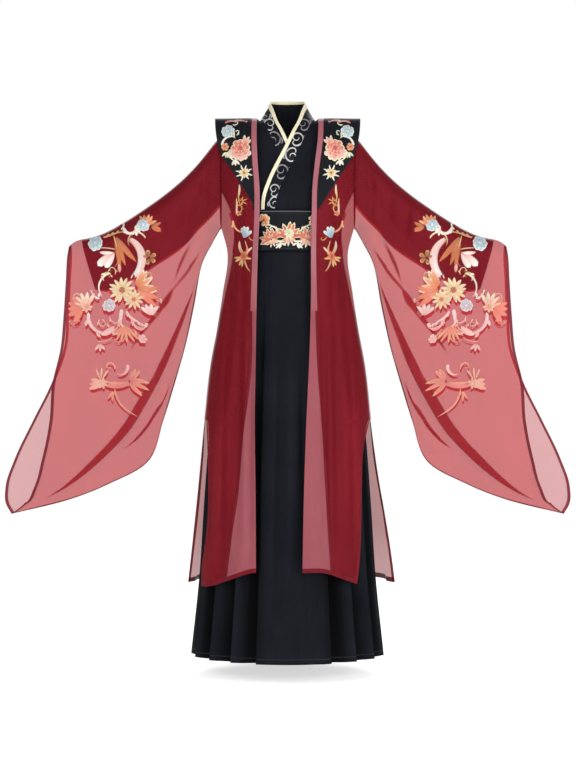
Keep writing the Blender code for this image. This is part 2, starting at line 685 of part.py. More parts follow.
def make_sleeve(side):
    """The wide sleeve, and the narrow one that hangs inside its upper part."""
    ring_at = np.array(SLEEVE_RINGS)[:, None]
    down = (1 - np.cos(np.linspace(0, math.pi, SLEEVE_STEPS + 1))) / 2
    faces = [sleeve_points(ring_at, down[None, :], back) for back in (False, True)]
    sleeve_wall("sleeve_" + side, tube(*faces), side, SHEER_RED)

    count = np.sum(ring_at[:, 0] <= LINING_LAST_RING)
    ring_at = ring_at[:count]
    share = (1 - np.cos(np.linspace(0, math.pi, LINING_STEPS + 1)))[None, :] / 2
    lined = share * look(SLEEVE, "lining", ring_at)
    closing = LINING_NARROW * np.sqrt(np.clip(1 - share[0] ** 3, 0, 1))
    inner = []
    for face, back in zip(faces, (False, True)):
        points = sleeve_points(ring_at, lined, back)
        points[..., 1] = [np.interp(at, down, row[:, 1]) * closing
                          for at, row in zip(lined, face[:count])]
        points[..., 2] -= LINING_UNDER
        inner.append(points)
    sleeve_wall("sleeve_lining_" + side, tube(*inner), side, RED)


def build():
    for old in list(bpy.data.objects):
        bpy.data.objects.remove(old)
    group = bpy.data.collections.new(COLLECTION)
    bpy.context.scene.collection.children.link(group)
    make_dress()
    make_back()
    for side in ("left", "right"):
        make_front(side)
        make_wing(side)
        make_sleeve(side)


build()
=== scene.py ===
"""The finish of a worn hanfu set: a black dress with a wide belt under a sheer red open robe.

Metres, +Z up, the front faces -Y and +X is the wearer's left. The origin is on the shoulder line.
Every cloth is a fine grid of points on the same forms as the solids, with its folds laid in.
"""
import math

import bpy
import numpy as np
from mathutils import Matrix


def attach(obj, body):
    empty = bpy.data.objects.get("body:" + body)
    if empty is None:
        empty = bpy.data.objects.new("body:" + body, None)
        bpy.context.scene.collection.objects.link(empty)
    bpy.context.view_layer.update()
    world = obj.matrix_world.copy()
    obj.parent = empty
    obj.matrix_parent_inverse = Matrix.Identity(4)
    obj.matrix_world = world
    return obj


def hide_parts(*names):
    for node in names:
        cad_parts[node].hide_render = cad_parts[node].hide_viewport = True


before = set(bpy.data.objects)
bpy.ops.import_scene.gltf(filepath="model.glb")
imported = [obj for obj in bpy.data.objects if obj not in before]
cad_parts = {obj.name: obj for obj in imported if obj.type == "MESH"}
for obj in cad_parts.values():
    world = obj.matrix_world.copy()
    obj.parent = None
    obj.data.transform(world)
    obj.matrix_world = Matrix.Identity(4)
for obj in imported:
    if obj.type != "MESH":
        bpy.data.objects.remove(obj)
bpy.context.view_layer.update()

# ---------------------------------------------------------------- the studio
# The set is held up by an invisible figure over a plain pale floor. Two wide soft lamps stand at
# its sides, a third fills in from the front, a weaker one behind it lights the sheer cloth
# through, and the room is white.
FLOOR_Z = -1.462
FLOOR_RADIUS = 5.0
LAMPS = [  # name, place, size, watts
    ("lamp_left", (-3.0, -3.2, 1.5), 2.0, 64),
    ("lamp_right", (3.2, -2.8, 0.4), 2.2, 84),
    ("lamp_front", (0.3, -5.4, 0.2), 1.6, 112),
    ("lamp_behind", (0.4, 3.2, 1.6), 2.6, 50),
]

CAMERA_PLACE = (0.0008, -5.0, -0.697)
CAMERA_LENS = 88.45
LAMPS_AIM = (0, 0, -0.6)
ROOM_LIGHT = 0.42         # what the white room gives the cloth; the camera sees it at 1
FLOOR_TONE = 0.80
FLOOR_GLOW = 0.60

scene = bpy.context.scene
scene.view_settings.view_transform = "Standard"
camera = bpy.data.objects.new("camera", bpy.data.cameras.new("camera"))
camera.location = CAMERA_PLACE
camera.rotation_euler = (math.pi / 2, 0, 0)
camera.data.sensor_width = 36
camera.data.lens = CAMERA_LENS
scene.collection.objects.link(camera)
scene.camera = camera

for name, place, size, watts in LAMPS:
    lamp = bpy.data.objects.new(name, bpy.data.lights.new(name, "AREA"))
    lamp.data.size, lamp.data.energy = size, watts
    lamp.location = place
    aim = np.array(LAMPS_AIM) - np.array(place)
    lamp.rotation_euler = (math.atan2(np.hypot(aim[0], aim[1]), -aim[2]), 0,
                           math.atan2(-aim[0], aim[1]))
    scene.collection.objects.link(lamp)


def fill(tree, node, inputs):
    """Set a node's inputs by name or number, each to a value or to another node's output."""
    for name, value in dict(inputs).items():
        if isinstance(value, bpy.types.NodeSocket):
            tree.links.new(value, node.inputs[name])
        else:
            node.inputs[name].default_value = value
    return node


def add(tree, kind, inputs=(), **settings):
    """A new node in a tree."""
    made = tree.nodes.new("ShaderNode" + kind)
    for name, value in settings.items():
        setattr(made, name, value)
    return fill(tree, made, inputs)


def blank(name):
    """A new material, its node tree and its shader."""
    made = bpy.data.materials.new(name)
    made.use_nodes = True
    return made, made.node_tree, made.node_tree.nodes["Principled BSDF"]


world = bpy.data.worlds.new("room")
world.use_nodes = True
tree = world.node_tree
seen = add(tree, "LightPath").outputs["Is Camera Ray"]
bright = add(tree, "MapRange", {"Value": seen, "To Min": ROOM_LIGHT, "To Max": 1.0})
fill(tree, tree.nodes["Background"], {"Strength": bright.outputs["Result"],
                                      "Color": (1, 1, 1, 1)})
scene.world = world

turn = np.linspace(0, 2 * math.pi, 96, endpoint=False)
rim = np.stack([FLOOR_RADIUS * np.cos(turn), FLOOR_RADIUS * np.sin(turn), 0 * turn + FLOOR_Z], 1)
mesh = bpy.data.meshes.new("floor")
mesh.from_pydata(rim.tolist(), [], [list(range(len(rim)))])
floor = bpy.data.objects.new("floor", mesh)
pale, tree, shader = blank("pale_floor")
fill(tree, shader, {"Base Color": (FLOOR_TONE, FLOOR_TONE, FLOOR_TONE, 1), "Roughness": 0.9,
                    "Emission Color": (1, 1, 1, 1), "Emission Strength": FLOOR_GLOW})
floor.data.materials.append(pale)
scene.collection.objects.link(floor)

# ---------------------------------------------------------------- the dress's bodice
# Black crepe, cut as two fronts and a back. The wearer's left front laps over the right one to a
# slanting line, and is held by the belt. Each half ends at the straight armhole.
CREPE = 0.0008            # thickness of the opaque cloths
LAYER = 0.0014            # how far a piece that lies on another is moved out
SEAM = 0.0001             # half of the gap left between two halves that are sewn together
SHOULDER_BEND = -0.12     # above this height the cloth bends over to the shoulder line
BEND_FULLNESS = 0.8
SHOULDER_DROP = 0.050
DROP_FROM = 0.095
ARMHOLE_X = 0.176
OVER_LAP = 0.0054
NECK_X = 0.062
DRESS_NECK_DIP = 0.042
NECK_ROUND = 0.7
NECK_FADE = 0.120
CUT_STEP = 0.006          # between the rows of the bodice
ARMHOLE_FROM = -0.26      # above this height the bodice ends at its armhole
BEND_ROWS = (-0.120, -0.090, -0.064, -0.036, -0.016, -0.005, 0.0)
WHOLE = 9.0               # an edge past the form's own side: the piece runs to the side seam
RIBBON_SHARE = 0.25       # the ribbon's part of the collar's width
BODICE_ROWS = (-0.300, -0.272, -0.245, -0.213, -0.176, -0.150) + BEND_ROWS


def table(names, rows, plain=""):
    """Named columns in millimetres, save for the plain ones, sorted by the first."""
    values = np.array(sorted(rows), dtype=float)
    return {name: values[:, k] / (1 if name in plain.split() else 1000)
            for k, name in enumerate(names.split())}


def cubic(t, a, b, from_a, to_b):
    """Between a and b at the share t, with the given slopes at both."""
    return ((2 * t**3 - 3 * t**2 + 1) * a + (t**3 - 2 * t**2 + t) * from_a
            + (3 * t**2 - 2 * t**3) * b + (t**3 - t**2) * to_b)


def look(source, column, at):
    """A smooth reading of one column: cubic pieces through the rows, level past both ends."""
    keys = next(iter(source.values()))
    values = source[column]
    slopes = np.gradient(values, keys)
    at = np.clip(np.asarray(at, dtype=float), keys[0], keys[-1])
    k = np.clip(np.searchsorted(keys, at) - 1, 0, len(keys) - 2)
    width = keys[k + 1] - keys[k]
    return cubic((at - keys[k]) / width, values[k], values[k + 1], width * slopes[k],
                 width * slopes[k + 1])


DRESS = table("z half_width front_depth back_depth", [
    (-120, 176, 108, 100),
    (-170, 170, 118, 98),
    (-240, 146, 108, 90),
    (-300, 131, 98, 86),
    (-355, 136, 104, 96),
    (-456, 150, 118, 120),
    (-600, 178, 142, 146),
    (-800, 205, 168, 170),
    (-1000, 221, 186, 188),
    (-1200, 234, 200, 202),
    (-1410, 256, 216, 216),
])
COLLAR = table("z inner outer", [
    (-300, -70, -27), (-245, -69, -33), (-213, -67, -28), (-176, -54.5, -14.5), (-124, -31, 12),
    (-90, -13, 27.5), (-64, 0, 39), (-36, 12.5, 51), (-16, 25.5, 60), (-5, 59, 68), (0, 65, 72)
])
DRESS_ARMHOLE = table("z across", [
    (0, 150), (-60, 142), (-120, 138), (-200, 140), (-260, 142)
])
BODICE_CREASES = [  # mm: from x z, to x z, bow, width, depth; the pull from armpit to belt
    (128, -150, 60, -235, 10, 9, -2.2),
    (135, -185, 72, -250, 6, 7, -1.8),
    (110, -205, 98, -262, 0, 6, 1.4),
    (40, -190, 32, -262, 3, 6, -1.3),
    (12, -175, 6, -262, -3, 7, 1.2),
    (52, -60, 50, -150, 4, 12, -1.2),
    (-128, -160, -64, -225, -10, 9, -2),
    (-122, -200, -90, -262, -4, 7, 1.5),
]


def smooth(value, low, high):
    """0 below low, 1 above high, with level ends."""
    t = np.clip((np.asarray(value, dtype=float) - low) / (high - low), 0, 1)
    return t * t * (3 - 2 * t)


def finer(rows, step):
    """Places between the given ones, about a step apart."""
    runs = [np.linspace(a, b, max(1, round((b - a) / step)) + 1)[:-1]
            for a, b in zip(rows, rows[1:])]
    return np.concatenate(runs + [[rows[-1]]])


def creases(x, z, lines):
    """Soft troughs and ridges, in millimetres: each is a bell across a bowed line, faded at the
    line's ends."""
    out = np.zeros(np.broadcast(x, z).shape)
    for x0, z0, x1, z1, bow, width, depth in np.array(lines) / 1000:
        run, rise = x1 - x0, z1 - z0
        length = math.hypot(run, rise)
        along = np.clip(((x - x0) * run + (z - z0) * rise) / length**2, 0, 1)
        aside = ((x - x0) * -rise + (z - z0) * run) / length - bow * 4 * along * (1 - along)
        past = ((x - x0) * run + (z - z0) * rise) / length - along * length
        bell = np.exp(-(aside**2 + past**2) / width**2)
        out = out + depth * bell * np.sin(math.pi * (0.06 + 0.88 * along)) ** 0.8
    return out


def shoulder_line(x):
    """Height of the shoulder seam: level by the neck, then falling to the armhole."""
    past = np.clip((np.abs(x) - DROP_FROM) / (ARMHOLE_X - DROP_FROM), 0, 1.2)
    return -SHOULDER_DROP * past ** 1.6


def cloth_height(z):
    """The cloth's own height for a height z seen by the neck: the two part over the bend."""
    share = np.clip((np.asarray(z, dtype=float) - SHOULDER_BEND) / -SHOULDER_BEND, 0, 1)
    angle = np.arcsin(share ** (1 / BEND_FULLNESS)) * 2 / math.pi
    return np.where(np.asarray(z) > SHOULDER_BEND, SHOULDER_BEND * (1 - angle), z)


def widths(form, z, back):
    """Half-width and depth of the form's ellipse at a height, on its front or its back."""
    low = np.minimum(z, SHOULDER_BEND)
    width = "half_width" if "half_width" in form else ("back_width" if back else "front_width")
    return look(form, width, low), look(form, "back_depth" if back else "front_depth", low)


def on_form(form, x, height, back, out=0.0, lift=0.0):
    """Points on a layer: an ellipse section that bends over to the shoulder line at the top."""
    x, height, out = np.broadcast_arrays(x, height, out)
    half_width, depth = widths(form, height, back)
    share = np.clip(1 - (x / (half_width + out)) ** 2, 0, 1)
    bend = np.clip(1 - height / SHOULDER_BEND, 0, 1) * math.pi / 2
    above = height > SHOULDER_BEND
    reach = np.where(above, np.clip(np.cos(bend), 0, 1) ** BEND_FULLNESS, 1)
    rise = np.sin(bend) ** BEND_FULLNESS
    top = shoulder_line(x) + lift
    z = np.where(above, SHOULDER_BEND + (top - SHOULDER_BEND) * rise, height)
    y = SEAM + (depth + out) * np.sqrt(share) * reach
    return np.stack([x, y if back else -y, z], axis=-1)


def columns(form, z, back, edges, counts, out=0.0):
    """Widths of a panel's columns: evenly turned round the ellipse between the given edges."""
    half_width = widths(form, z, back)[0] + out
    turns = [np.arcsin(np.clip(edge / half_width, -1, 1)) for edge in edges]
    runs = [np.linspace(a, b, n + 1)[:-1] for a, b, n in zip(turns, turns[1:], counts)]
    return half_width[:, None] * np.sin(np.concatenate(runs + [turns[-1:]])).T


def normals(grid, closed=False):
    """Unit normals of a grid, along columns crossed with rows."""
    if closed:
        wide = np.concatenate([grid[:, -1:], grid, grid[:, :1]], axis=1)
        across = (wide[:, 2:] - wide[:, :-2]) / 2
    else:
        across = np.gradient(grid, axis=1)
    normal = np.cross(across, np.gradient(grid, axis=0))
    return normal / np.maximum(np.linalg.norm(normal, axis=-1, keepdims=True), 1e-12)


def outward(grid, core=None, closed=False):
    """Unit normals of a grid, all turned away from the body or from a given core."""
    if core is None:
        core = np.zeros_like(grid)
        core[..., 2] = np.minimum(grid[..., 2], -0.15)
    normal = normals(grid, closed)
    return normal if np.sum(normal * (grid - core)) > 0 else -normal


def moved_out(grid, distance):
    """A piece's points moved out from the body, for what lies on it."""
    return grid + distance * outward(grid)


def mirrored(grid, side):
    """The grid on the wearer's left as it is, or turned over to the right."""
    return grid * np.array([1 if side == "left" else -1, 1, 1])


def lengths(grid, axis):
    """Distance along one axis of a grid, in metres, taken as the mean over the other axis."""
    steps = np.linalg.norm(np.diff(grid, axis=axis), axis=-1).mean(axis=1 - axis)
    return np.concatenate([[0], np.cumsum(steps)])


def quads(index):
    """What stands at the four corners of each cell of a grid, or of many grids at once."""
    return np.stack([index[..., :-1, :-1], index[..., :-1, 1:], index[..., 1:, 1:],
                     index[..., 1:, :-1]], axis=-1)


def new_mesh(name, points, faces, flat=None, carried=None):
    """A smooth mesh, with a UV map in metres and with what its points carry where these are
    given: the attribute's name, its kind, its field and its values."""
    mesh = bpy.data.meshes.new(name)
    mesh.from_pydata(points.reshape(-1, 3).tolist(), [], faces.tolist())
    if flat is not None:
        mesh.uv_layers.new(name="cloth").data.foreach_set("uv", flat.ravel())
    if carried:
        label, kind, field, values = carried
        attribute = mesh.attributes.new(label, kind, "POINT")
        attribute.data.foreach_set(field, values.astype(np.float32).ravel())
    mesh.shade_smooth()
    return mesh


def mesh_of(name, grid, closed=False, core=None, painted_shade=None):
    """A smooth mesh of a grid's points, facing out, with a UV map in metres along its lines. The
    last argument gives each point's share of painted shade. Where a sheer cloth hangs in front of
    a dark one, or deep in the skirt's pleats, it darkens the cloth's colour, and on the chiffon it
    also turns off the painted glow."""
    if np.sum(normals(grid, closed) * outward(grid, core, closed)) < 0:
        grid = grid[:, ::-1]
        painted_shade = None if painted_shade is None else painted_shade[:, ::-1]
    rows, across = grid.shape[:2]
    index = np.arange(rows * across).reshape(rows, across)
    wide = np.concatenate([grid, grid[:, :1]], axis=1) if closed else grid
    if closed:
        index = np.concatenate([index, index[:, :1]], axis=1)
    u, v = np.broadcast_arrays(lengths(wide, 1)[None, :], lengths(wide, 0)[:, None])
    carried = None if painted_shade is None else ("painted_shade", "FLOAT", "value", painted_shade)
    return new_mesh(name, grid, quads(index).reshape(-1, 4),
                    np.stack([quads(u), quads(v)], axis=-1), carried)


def piece(name, mesh, material, node=None, wall=None, offset=-1):
    """An object of the set: it rides on the root and may stand for a solid of the frame."""
    made = bpy.data.objects.new(name, mesh)
    scene.collection.objects.link(made)
    made.data.materials.append(material)
    if wall:
        shell = made.modifiers.new("wall", "SOLIDIFY")
        shell.thickness, shell.offset, shell.use_even_offset = wall, offset, True
    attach(made, "root")
    if node:
        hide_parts(node)
    return made


def group(name, inputs, outputs):
    """An empty shader node group with its named sockets, and its two end nodes."""
    made = bpy.data.node_groups.new(name, "ShaderNodeTree")
    for direction, sockets in (("INPUT", inputs), ("OUTPUT", outputs)):
        for label, kind, *value in sockets:
            socket = made.interface.new_socket(label, in_out=direction,
                                               socket_type="NodeSocket" + kind)
            if value:
                socket.default_value = value[0]
    start, end = made.nodes.new("NodeGroupInput"), made.nodes.new("NodeGroupOutput")
    return made, start.outputs, end.inputs


def calc(tree, operation, a, b=0.0, c=0.0):
    """The output of a Math node."""
    return add(tree, "Math", {0: a, 1: b, 2: c}, operation=operation).outputs[0]


# Plain weave: warp and weft are rounded threads, and a checker says which of them is on top
weave, given, taken = group("weave", [("UV", "Vector"), ("Threads", "Float", 1600.0)],
                            [("Height", "Float"), ("Slub", "Float")])
axes = add(weave, "SeparateXYZ", {0: given["UV"]}).outputs
warp, weft = [calc(weave, "ABSOLUTE", calc(weave, "SINE", calc(
    weave, "MULTIPLY", calc(weave, "MULTIPLY", axes[k], given["Threads"]), math.pi)))
    for k in (0, 1)]
on_top = add(weave, "TexChecker", {"Vector": given["UV"], "Scale": given["Threads"]})
crossed = add(weave, "Mix", {0: on_top.outputs["Fac"], 2: warp, 3: weft})
weave.links.new(crossed.outputs[0], taken["Height"])
streak = add(weave, "VectorMath", {0: given["UV"], 1: (240.0, 18.0, 1.0)}, operation="MULTIPLY")
slub = add(weave, "TexNoise", {"Vector": streak.outputs[0], "Scale": 1.0, "Detail": 1.5})
weave.links.new(slub.outputs["Fac"], taken["Slub"])

# Dye that took unevenly: wide soft patches and fine slubs between two tones of the cloth
dye, given, taken = group("dye", [("Place", "Vector"), ("Slub", "Float"), ("Tone", "Color"),
                                  ("Deep", "Color"), ("Patch", "Float", 6.0)],
                          [("Colour", "Color"), ("Patches", "Float")])
soft = add(dye, "TexNoise", {"Vector": given["Place"], "Scale": given["Patch"], "Detail": 4.0})
patch = add(dye, "MapRange", {"Value": soft.outputs["Fac"], "From Min": 0.32, "From Max": 0.68})
thread = add(dye, "MapRange", {"Value": given["Slub"], "From Min": 0.3, "From Max": 0.7})
share = calc(dye, "ADD", calc(dye, "MULTIPLY", patch.outputs[0], 0.72),
             calc(dye, "MULTIPLY", thread.outputs[0], 0.28))
mixed = add(dye, "Mix", {0: share, 6: given["Deep"], 7: given["Tone"]}, data_type="RGBA")
dye.links.new(mixed.outputs[2], taken["Colour"])
dye.links.new(share, taken["Patches"])


def painted_shade_mix(tree, way_in, way_out, blend):
    """One colour where a cloth has no painted shade, turning to another where its mesh gives it
    full painted shade.
    """
    at = add(tree, "Attribute", attribute_name="painted_shade").outputs["Fac"]
    return add(tree, "Mix", {0: at, 6: way_in, 7: (*way_out, 1)}, data_type="RGBA",
               blend_type=blend).outputs[2]


def cloth(name, tone, deep, rough, threads=1500.0, relief=0.00003, alpha=1.0, sheen=0.0,
          patch=6.0, gloss=0.25, painted_shade_tint=None):
    """A woven cloth: two tones of dye, roughness that follows them, and the weave as bump. The
    last argument is the tint that its colour is multiplied by as painted shade, where its mesh
    says that a dark cloth hangs behind it or that it lies deep in a fold."""
    made, tree, shader = blank(name)
    flat = add(tree, "UVMap", uv_map="cloth").outputs[0]
    threading = add(tree, "Group", node_tree=weave)
    fill(tree, threading, {"Threads": threads, "UV": flat})
    dyed = add(tree, "Group", node_tree=dye)
    fill(tree, dyed, {"Tone": (*tone, 1), "Deep": (*deep, 1), "Patch": patch,
                      "Place": add(tree, "TexCoord").outputs["Object"],
                      "Slub": threading.outputs["Slub"]})
    colour = dyed.outputs["Colour"]
    if painted_shade_tint:
        colour = painted_shade_mix(tree, colour, painted_shade_tint, "MULTIPLY")
    spread = add(tree, "MapRange", {"Value": dyed.outputs["Patches"],
                                    "To Min": rough + 0.07, "To Max": rough - 0.07})
    bump = add(tree, "Bump", {"Height": threading.outputs["Height"], "Distance": relief,
                              "Strength": 0.6})
    fill(tree, shader, {"Base Color": colour, "Roughness": spread.outputs[0],
                        "Normal": bump.outputs[0], "Alpha": alpha, "Sheen Weight": sheen,
                        "Sheen Roughness": 0.4, "Specular IOR Level": gloss})
    return made


# The black crepe's last tint is painted shade, laid in the skirt's pleat valleys
black_crepe = cloth("black_crepe", (0.0105, 0.0118, 0.0158), (0.0062, 0.0072, 0.0096), 0.50,
                    relief=0.00002, gloss=0.012, painted_shade_tint=(0.30, 0.27, 0.26))
black_satin = cloth("black_satin", (0.0090, 0.0100, 0.0130), (0.0056, 0.0064, 0.0084), 0.38,
                    threads=2200.0, relief=0.00001, gloss=0.05)


def bodice_front(over):
    """Half of the bodice, cut to the slanting collar line; the over front stands off the other."""
    z = finer(BODICE_ROWS, CUT_STEP)
    sign = 1 if over else -1
    armhole = np.where(z > ARMHOLE_FROM, look(DRESS_ARMHOLE, "across", z), WHOLE)
    inner, outer = look(COLLAR, "inner", z), look(COLLAR, "outer", z)
    x = columns(DRESS, z, False, (inner, inner + (outer - inner) * RIBBON_SHARE, outer, armhole),
                (2, 6, 26))
    out = creases(x * sign, z[:, None], BODICE_CREASES)
    if over:
        beneath = -look(COLLAR, "inner", z)[:, None]
        out = out + OVER_LAP * (1 - smooth(x, beneath + 0.010, beneath + 0.045))
    grid = on_form(DRESS, x, cloth_height(z)[:, None], False, out)
    return grid * np.array([sign, 1, 1])


def back_rows(x, z, neck_x, dip):
    """Cloth heights of a back's rows, dipped at the top between the neck points."""
    height = cloth_height(z)[:, None]
    fade = np.clip(1 + height / NECK_FADE, 0, 1)
    return height - dip * np.clip(1 - (x / neck_x) ** 2, 0, 1) ** NECK_ROUND * fade


def back_edges(side_x, neck_x, shares):
    """A back's column edges: closer together where its neckline turns down at the neck points."""
    neck = [np.full_like(side_x, neck_x * share) for share in shares]
    return [-side_x] + [-x for x in neck[:-1]] + neck[::-1] + [side_x]


NECK_COLUMNS = (1, 0.985, 0.96, 0.92, 0.86, 0.78, 0.68, 0.52, 0.36, 0.18, 0)
over, under = bodice_front(True), bodice_front(False)
z = finer(BODICE_ROWS, CUT_STEP)
armhole = np.where(z > ARMHOLE_FROM, look(DRESS_ARMHOLE, "across", z), WHOLE)
x = columns(DRESS, z, True, back_edges(armhole, NECK_X, NECK_COLUMNS), [12] + [2] * 20 + [12])
shoulder_blades = creases(x, z[:, None], [
    (50, -50, 40, -250, 10, 20, 1.6), (-50, -60, -40, -240, -10, 20, 1.6),
    (100, -140, 60, -280, 0, 10, -1.8), (-110, -150, -70, -280, 0, 10, -1.8)])
back = on_form(DRESS, x, back_rows(x, z, NECK_X, DRESS_NECK_DIP), True, shoulder_blades)
for name, grid, flat in (("dress_front_over", over, (0.24, 0.36)),
                         ("dress_front_under", under, (0.24, 0.36)),
                         ("dress_back", back, (0.36, 0.38))):
    made = piece(name + "_crepe", mesh_of(name, grid), black_crepe,
                 name, CREPE)

# ---------------------------------------------------------------- the skirt
# Sewn to the bodice under the belt: a flat panel at the front and one at the back, and three
# panels at each side, laid in knife pleats whose folded edges face the front. The hem is stitched.
FRONT_PANEL = (-18.5, 26.0)
LEFT_PLEATS = (26.0, 44.0, 62.0, 81.0, 101.0, 122.0, 143.0, 163.0)
RIGHT_PLEATS = (-18.5, -35.0, -52.5, -71.0, -91.0, -112.0, -134.0, -157.0)
SIDE_PANELS = (("front", 0, 3), ("middle", 3, 5), ("back", 5, 7))
PLEAT_DEPTH = 0.013
PANEL_PARTING = 0.02
SWAY_MORE = 3.2
FOLDS_IN = 2.2
SKIRT_HEM = 0.013
HEM_STITCH = (0.0035, 0.0015, 0.0004)
STITCH_HIGH = 0.00025
STITCH_IN = 0.0001
PLEATS_GROW = (0.34, 0.95)  # how far below the shoulders the pleats open, and are full
SWAYS_GROW = (0.36, 0.90)
# how far below the shoulders the pleats' painted shade starts, and where it is full
PLEAT_SHADE_GROW = (0.42, 0.90)
SKIRT_ROWS = (-1.410, -1.180, -0.960, -0.760, -0.590, -0.450, -0.360, -0.3005)
PLEAT_FOLD = np.array([  # share of the pleat's width, share of its depth: the edge turns under
    (0.000, 0.00), (0.014, -0.07), (0.016, -0.17), (0.004, -0.30), (-0.030, -0.42),
    (-0.058, -0.56), (-0.052, -0.72), (-0.010, -0.84), (0.050, -0.90), (0.120, -0.88),
    (0.200, -0.80), (0.300, -0.70), (0.420, -0.58), (0.540, -0.46), (0.660, -0.34),
    (0.780, -0.22), (0.880, -0.12), (0.950, -0.05)])
PLEAT_EVENNESS = (1.0, 0.86, 1.1, 0.94, 1.06, 0.9, 1.0, 1.0)
SKIRT_SWAYS = [  # from degrees, mm, to degrees, mm, bow and width in degrees, depth in mm
    (-9, -400, -11, -1360, 0.5, 3.4, -3),
    (1, -380, 0, -1300, 0.8, 4.2, 3.4),
    (11, -420, 14, -1380, -0.8, 3.2, -3.4),
    (20, -600, 21, -1410, 0.5, 2.8, 2.8),
    (33, -620, 36, -1410, 0, 3.6, 3),
    (54, -550, 52, -1400, 0, 3.6, -3),
    (72, -600, 74, -1410, 0, 4.0, 3.4),
    (112, -520, 110, -1410, 0, 4.0, 3.2),
    (133, -600, 135, -1410, 0, 4.0, -3),
    (-27, -600, -28, -1410, 0, 3.4, 3),
    (-44, -560, -42, -1410, 0, 3.6, -2.8),
    (-62, -600, -64, -1410, 0, 4.0, 3.2),
    (-102, -550, -104, -1410, 0, 4.0, 3),
    (-124, -600, -122, -1410, 0, 4.0, -3),
    (172, -420, 174, -1380, 1, 3.6, 3),
    (184, -400, 182, -1360, -1, 4.4, -3.2),
    (196, -500, 196, -1410, 0, 3.4, 2.8),
]


def skirt_panel(low, high, dips):
    """A panel: each column goes from its turn at the waist to its turn at the hem, and is let in
    by its pleat's growing depth."""
    z = finer(SKIRT_ROWS, 0.012)[:, None]
    grow = smooth(-z, *PLEATS_GROW)
    turn = low * (1 - grow) + high * grow
    sway = sum(creases(turn / 100, z, [(a * 10, b, c * 10, d, bow * 10, w * 10, deep)])
               * smooth(-z, *SWAYS_GROW) for a, b, c, d, bow, w, deep in SKIRT_SWAYS)
    out = dips * grow * FOLDS_IN + sway * SWAY_MORE
    angle = np.radians(turn)
    back = np.cos(angle) < 0
    half_width = look(DRESS, "half_width", z) + out
    depth = np.where(back, look(DRESS, "back_depth", z), look(DRESS, "front_depth", z)) + out
    return np.stack([half_width * np.sin(angle), -depth * np.cos(angle),
                     np.broadcast_to(z, half_width.shape)], axis=-1)


def edging(grid, edge, width, lift, steps=3):
    """A strip along one edge of a grid: each line is walked inwards from the edge by length."""
    lifted = moved_out(grid, lift)
    if edge in ("first", "last"):
        lifted = lifted.swapaxes(0, 1)
    if edge in ("top", "last"):
        lifted = lifted[::-1]
    gone = np.cumsum(np.linalg.norm(np.diff(lifted, axis=0), axis=-1), axis=0)
    gone = np.concatenate([np.zeros_like(gone[:1]), gone])
    across = np.arange(lifted.shape[1])
    rows = []
    for reach in np.linspace(0, width, steps):
        k = np.clip((gone <= reach).sum(axis=0) - 1, 0, len(lifted) - 2)
        t = (reach - gone[k, across]) / np.maximum(gone[k + 1, across] - gone[k, across], 1e-9)
        rows.append(lifted[k, across] + (lifted[k + 1, across] - lifted[k, across]) * t[:, None])
    return np.array(rows)


def stitches(name, path, out, size, material):
    """Running stitches along a path: each is a small raised lozenge. The size gives their length,
    the gap between them and their half width."""
    long, gap, wide = size
    gone = np.concatenate([[0], np.cumsum(np.linalg.norm(np.diff(path, axis=0), axis=1))])
    start = np.arange(gap, gone[-1] - long, long + gap)
    at = start[:, None] + long * np.array([0, 0.25, 0.75, 1.0])
    centre = np.stack([np.interp(at, gone, path[:, k]) for k in range(3)], axis=-1)
    up = np.stack([np.interp(at, gone, out[:, k]) for k in range(3)], axis=-1)
    side = np.cross(centre[:, 3:] - centre[:, :1], up)
    side /= np.maximum(np.linalg.norm(side, axis=-1, keepdims=True), 1e-9)
    full = np.array([0.3, 1, 1, 0.3])[None, :, None]
    grids = np.stack([centre + side * wide * full * k
                      + up * (STITCH_HIGH * (1 - abs(k)) * full - STITCH_IN)
                      for k in (-1, 0, 1)], axis=2)
    return piece(name, strips(name, grids.reshape(-1, 4, 3, 3), up.reshape(-1, 4, 3)), material)


def strips(name, grids, up, flat=None, tones=None):
    """One mesh of many small grids of the same size, each facing along its carrier's normal, with
    a UV map in metres and a thread colour at each point where they are given."""
    count, rows, across = grids.shape[:3]
    faces = quads(np.arange(count * rows * across).reshape(count, rows, across)).reshape(-1, 4)
    normal = np.cross(grids[:, rows // 2, -1] - grids[:, rows // 2, 0],
                      grids[:, -1, across // 2] - grids[:, 0, across // 2])
    turned = np.repeat(np.sum(normal * up[:, rows // 2], axis=-1) < 0, (rows - 1) * (across - 1))
    faces[turned] = faces[turned][:, ::-1]
    if flat is None:
        return new_mesh(name, grids, faces)
    tones = np.concatenate([tones, np.ones_like(tones[..., :1])], axis=-1)
    return new_mesh(name, grids, faces, flat.reshape(-1, 2)[faces],
                    ("thread", "FLOAT_COLOR", "color", tones))


black_thread, tree, shader = blank("black_thread")
twist = add(tree, "TexNoise", {"Vector": add(tree, "TexCoord").outputs["Object"], "Scale": 900.0})
lit = add(tree, "MapRange", {"Value": twist.outputs["Fac"], "To Min": 0.25, "To Max": 0.55})
grey = add(tree, "Mix", {0: lit.outputs[0], 6: (0.012, 0.014, 0.017, 1),
                         7: (0.055, 0.06, 0.066, 1)}, data_type="RGBA")
fill(tree, shader, {"Base Color": grey.outputs[2], "Roughness": 0.45})

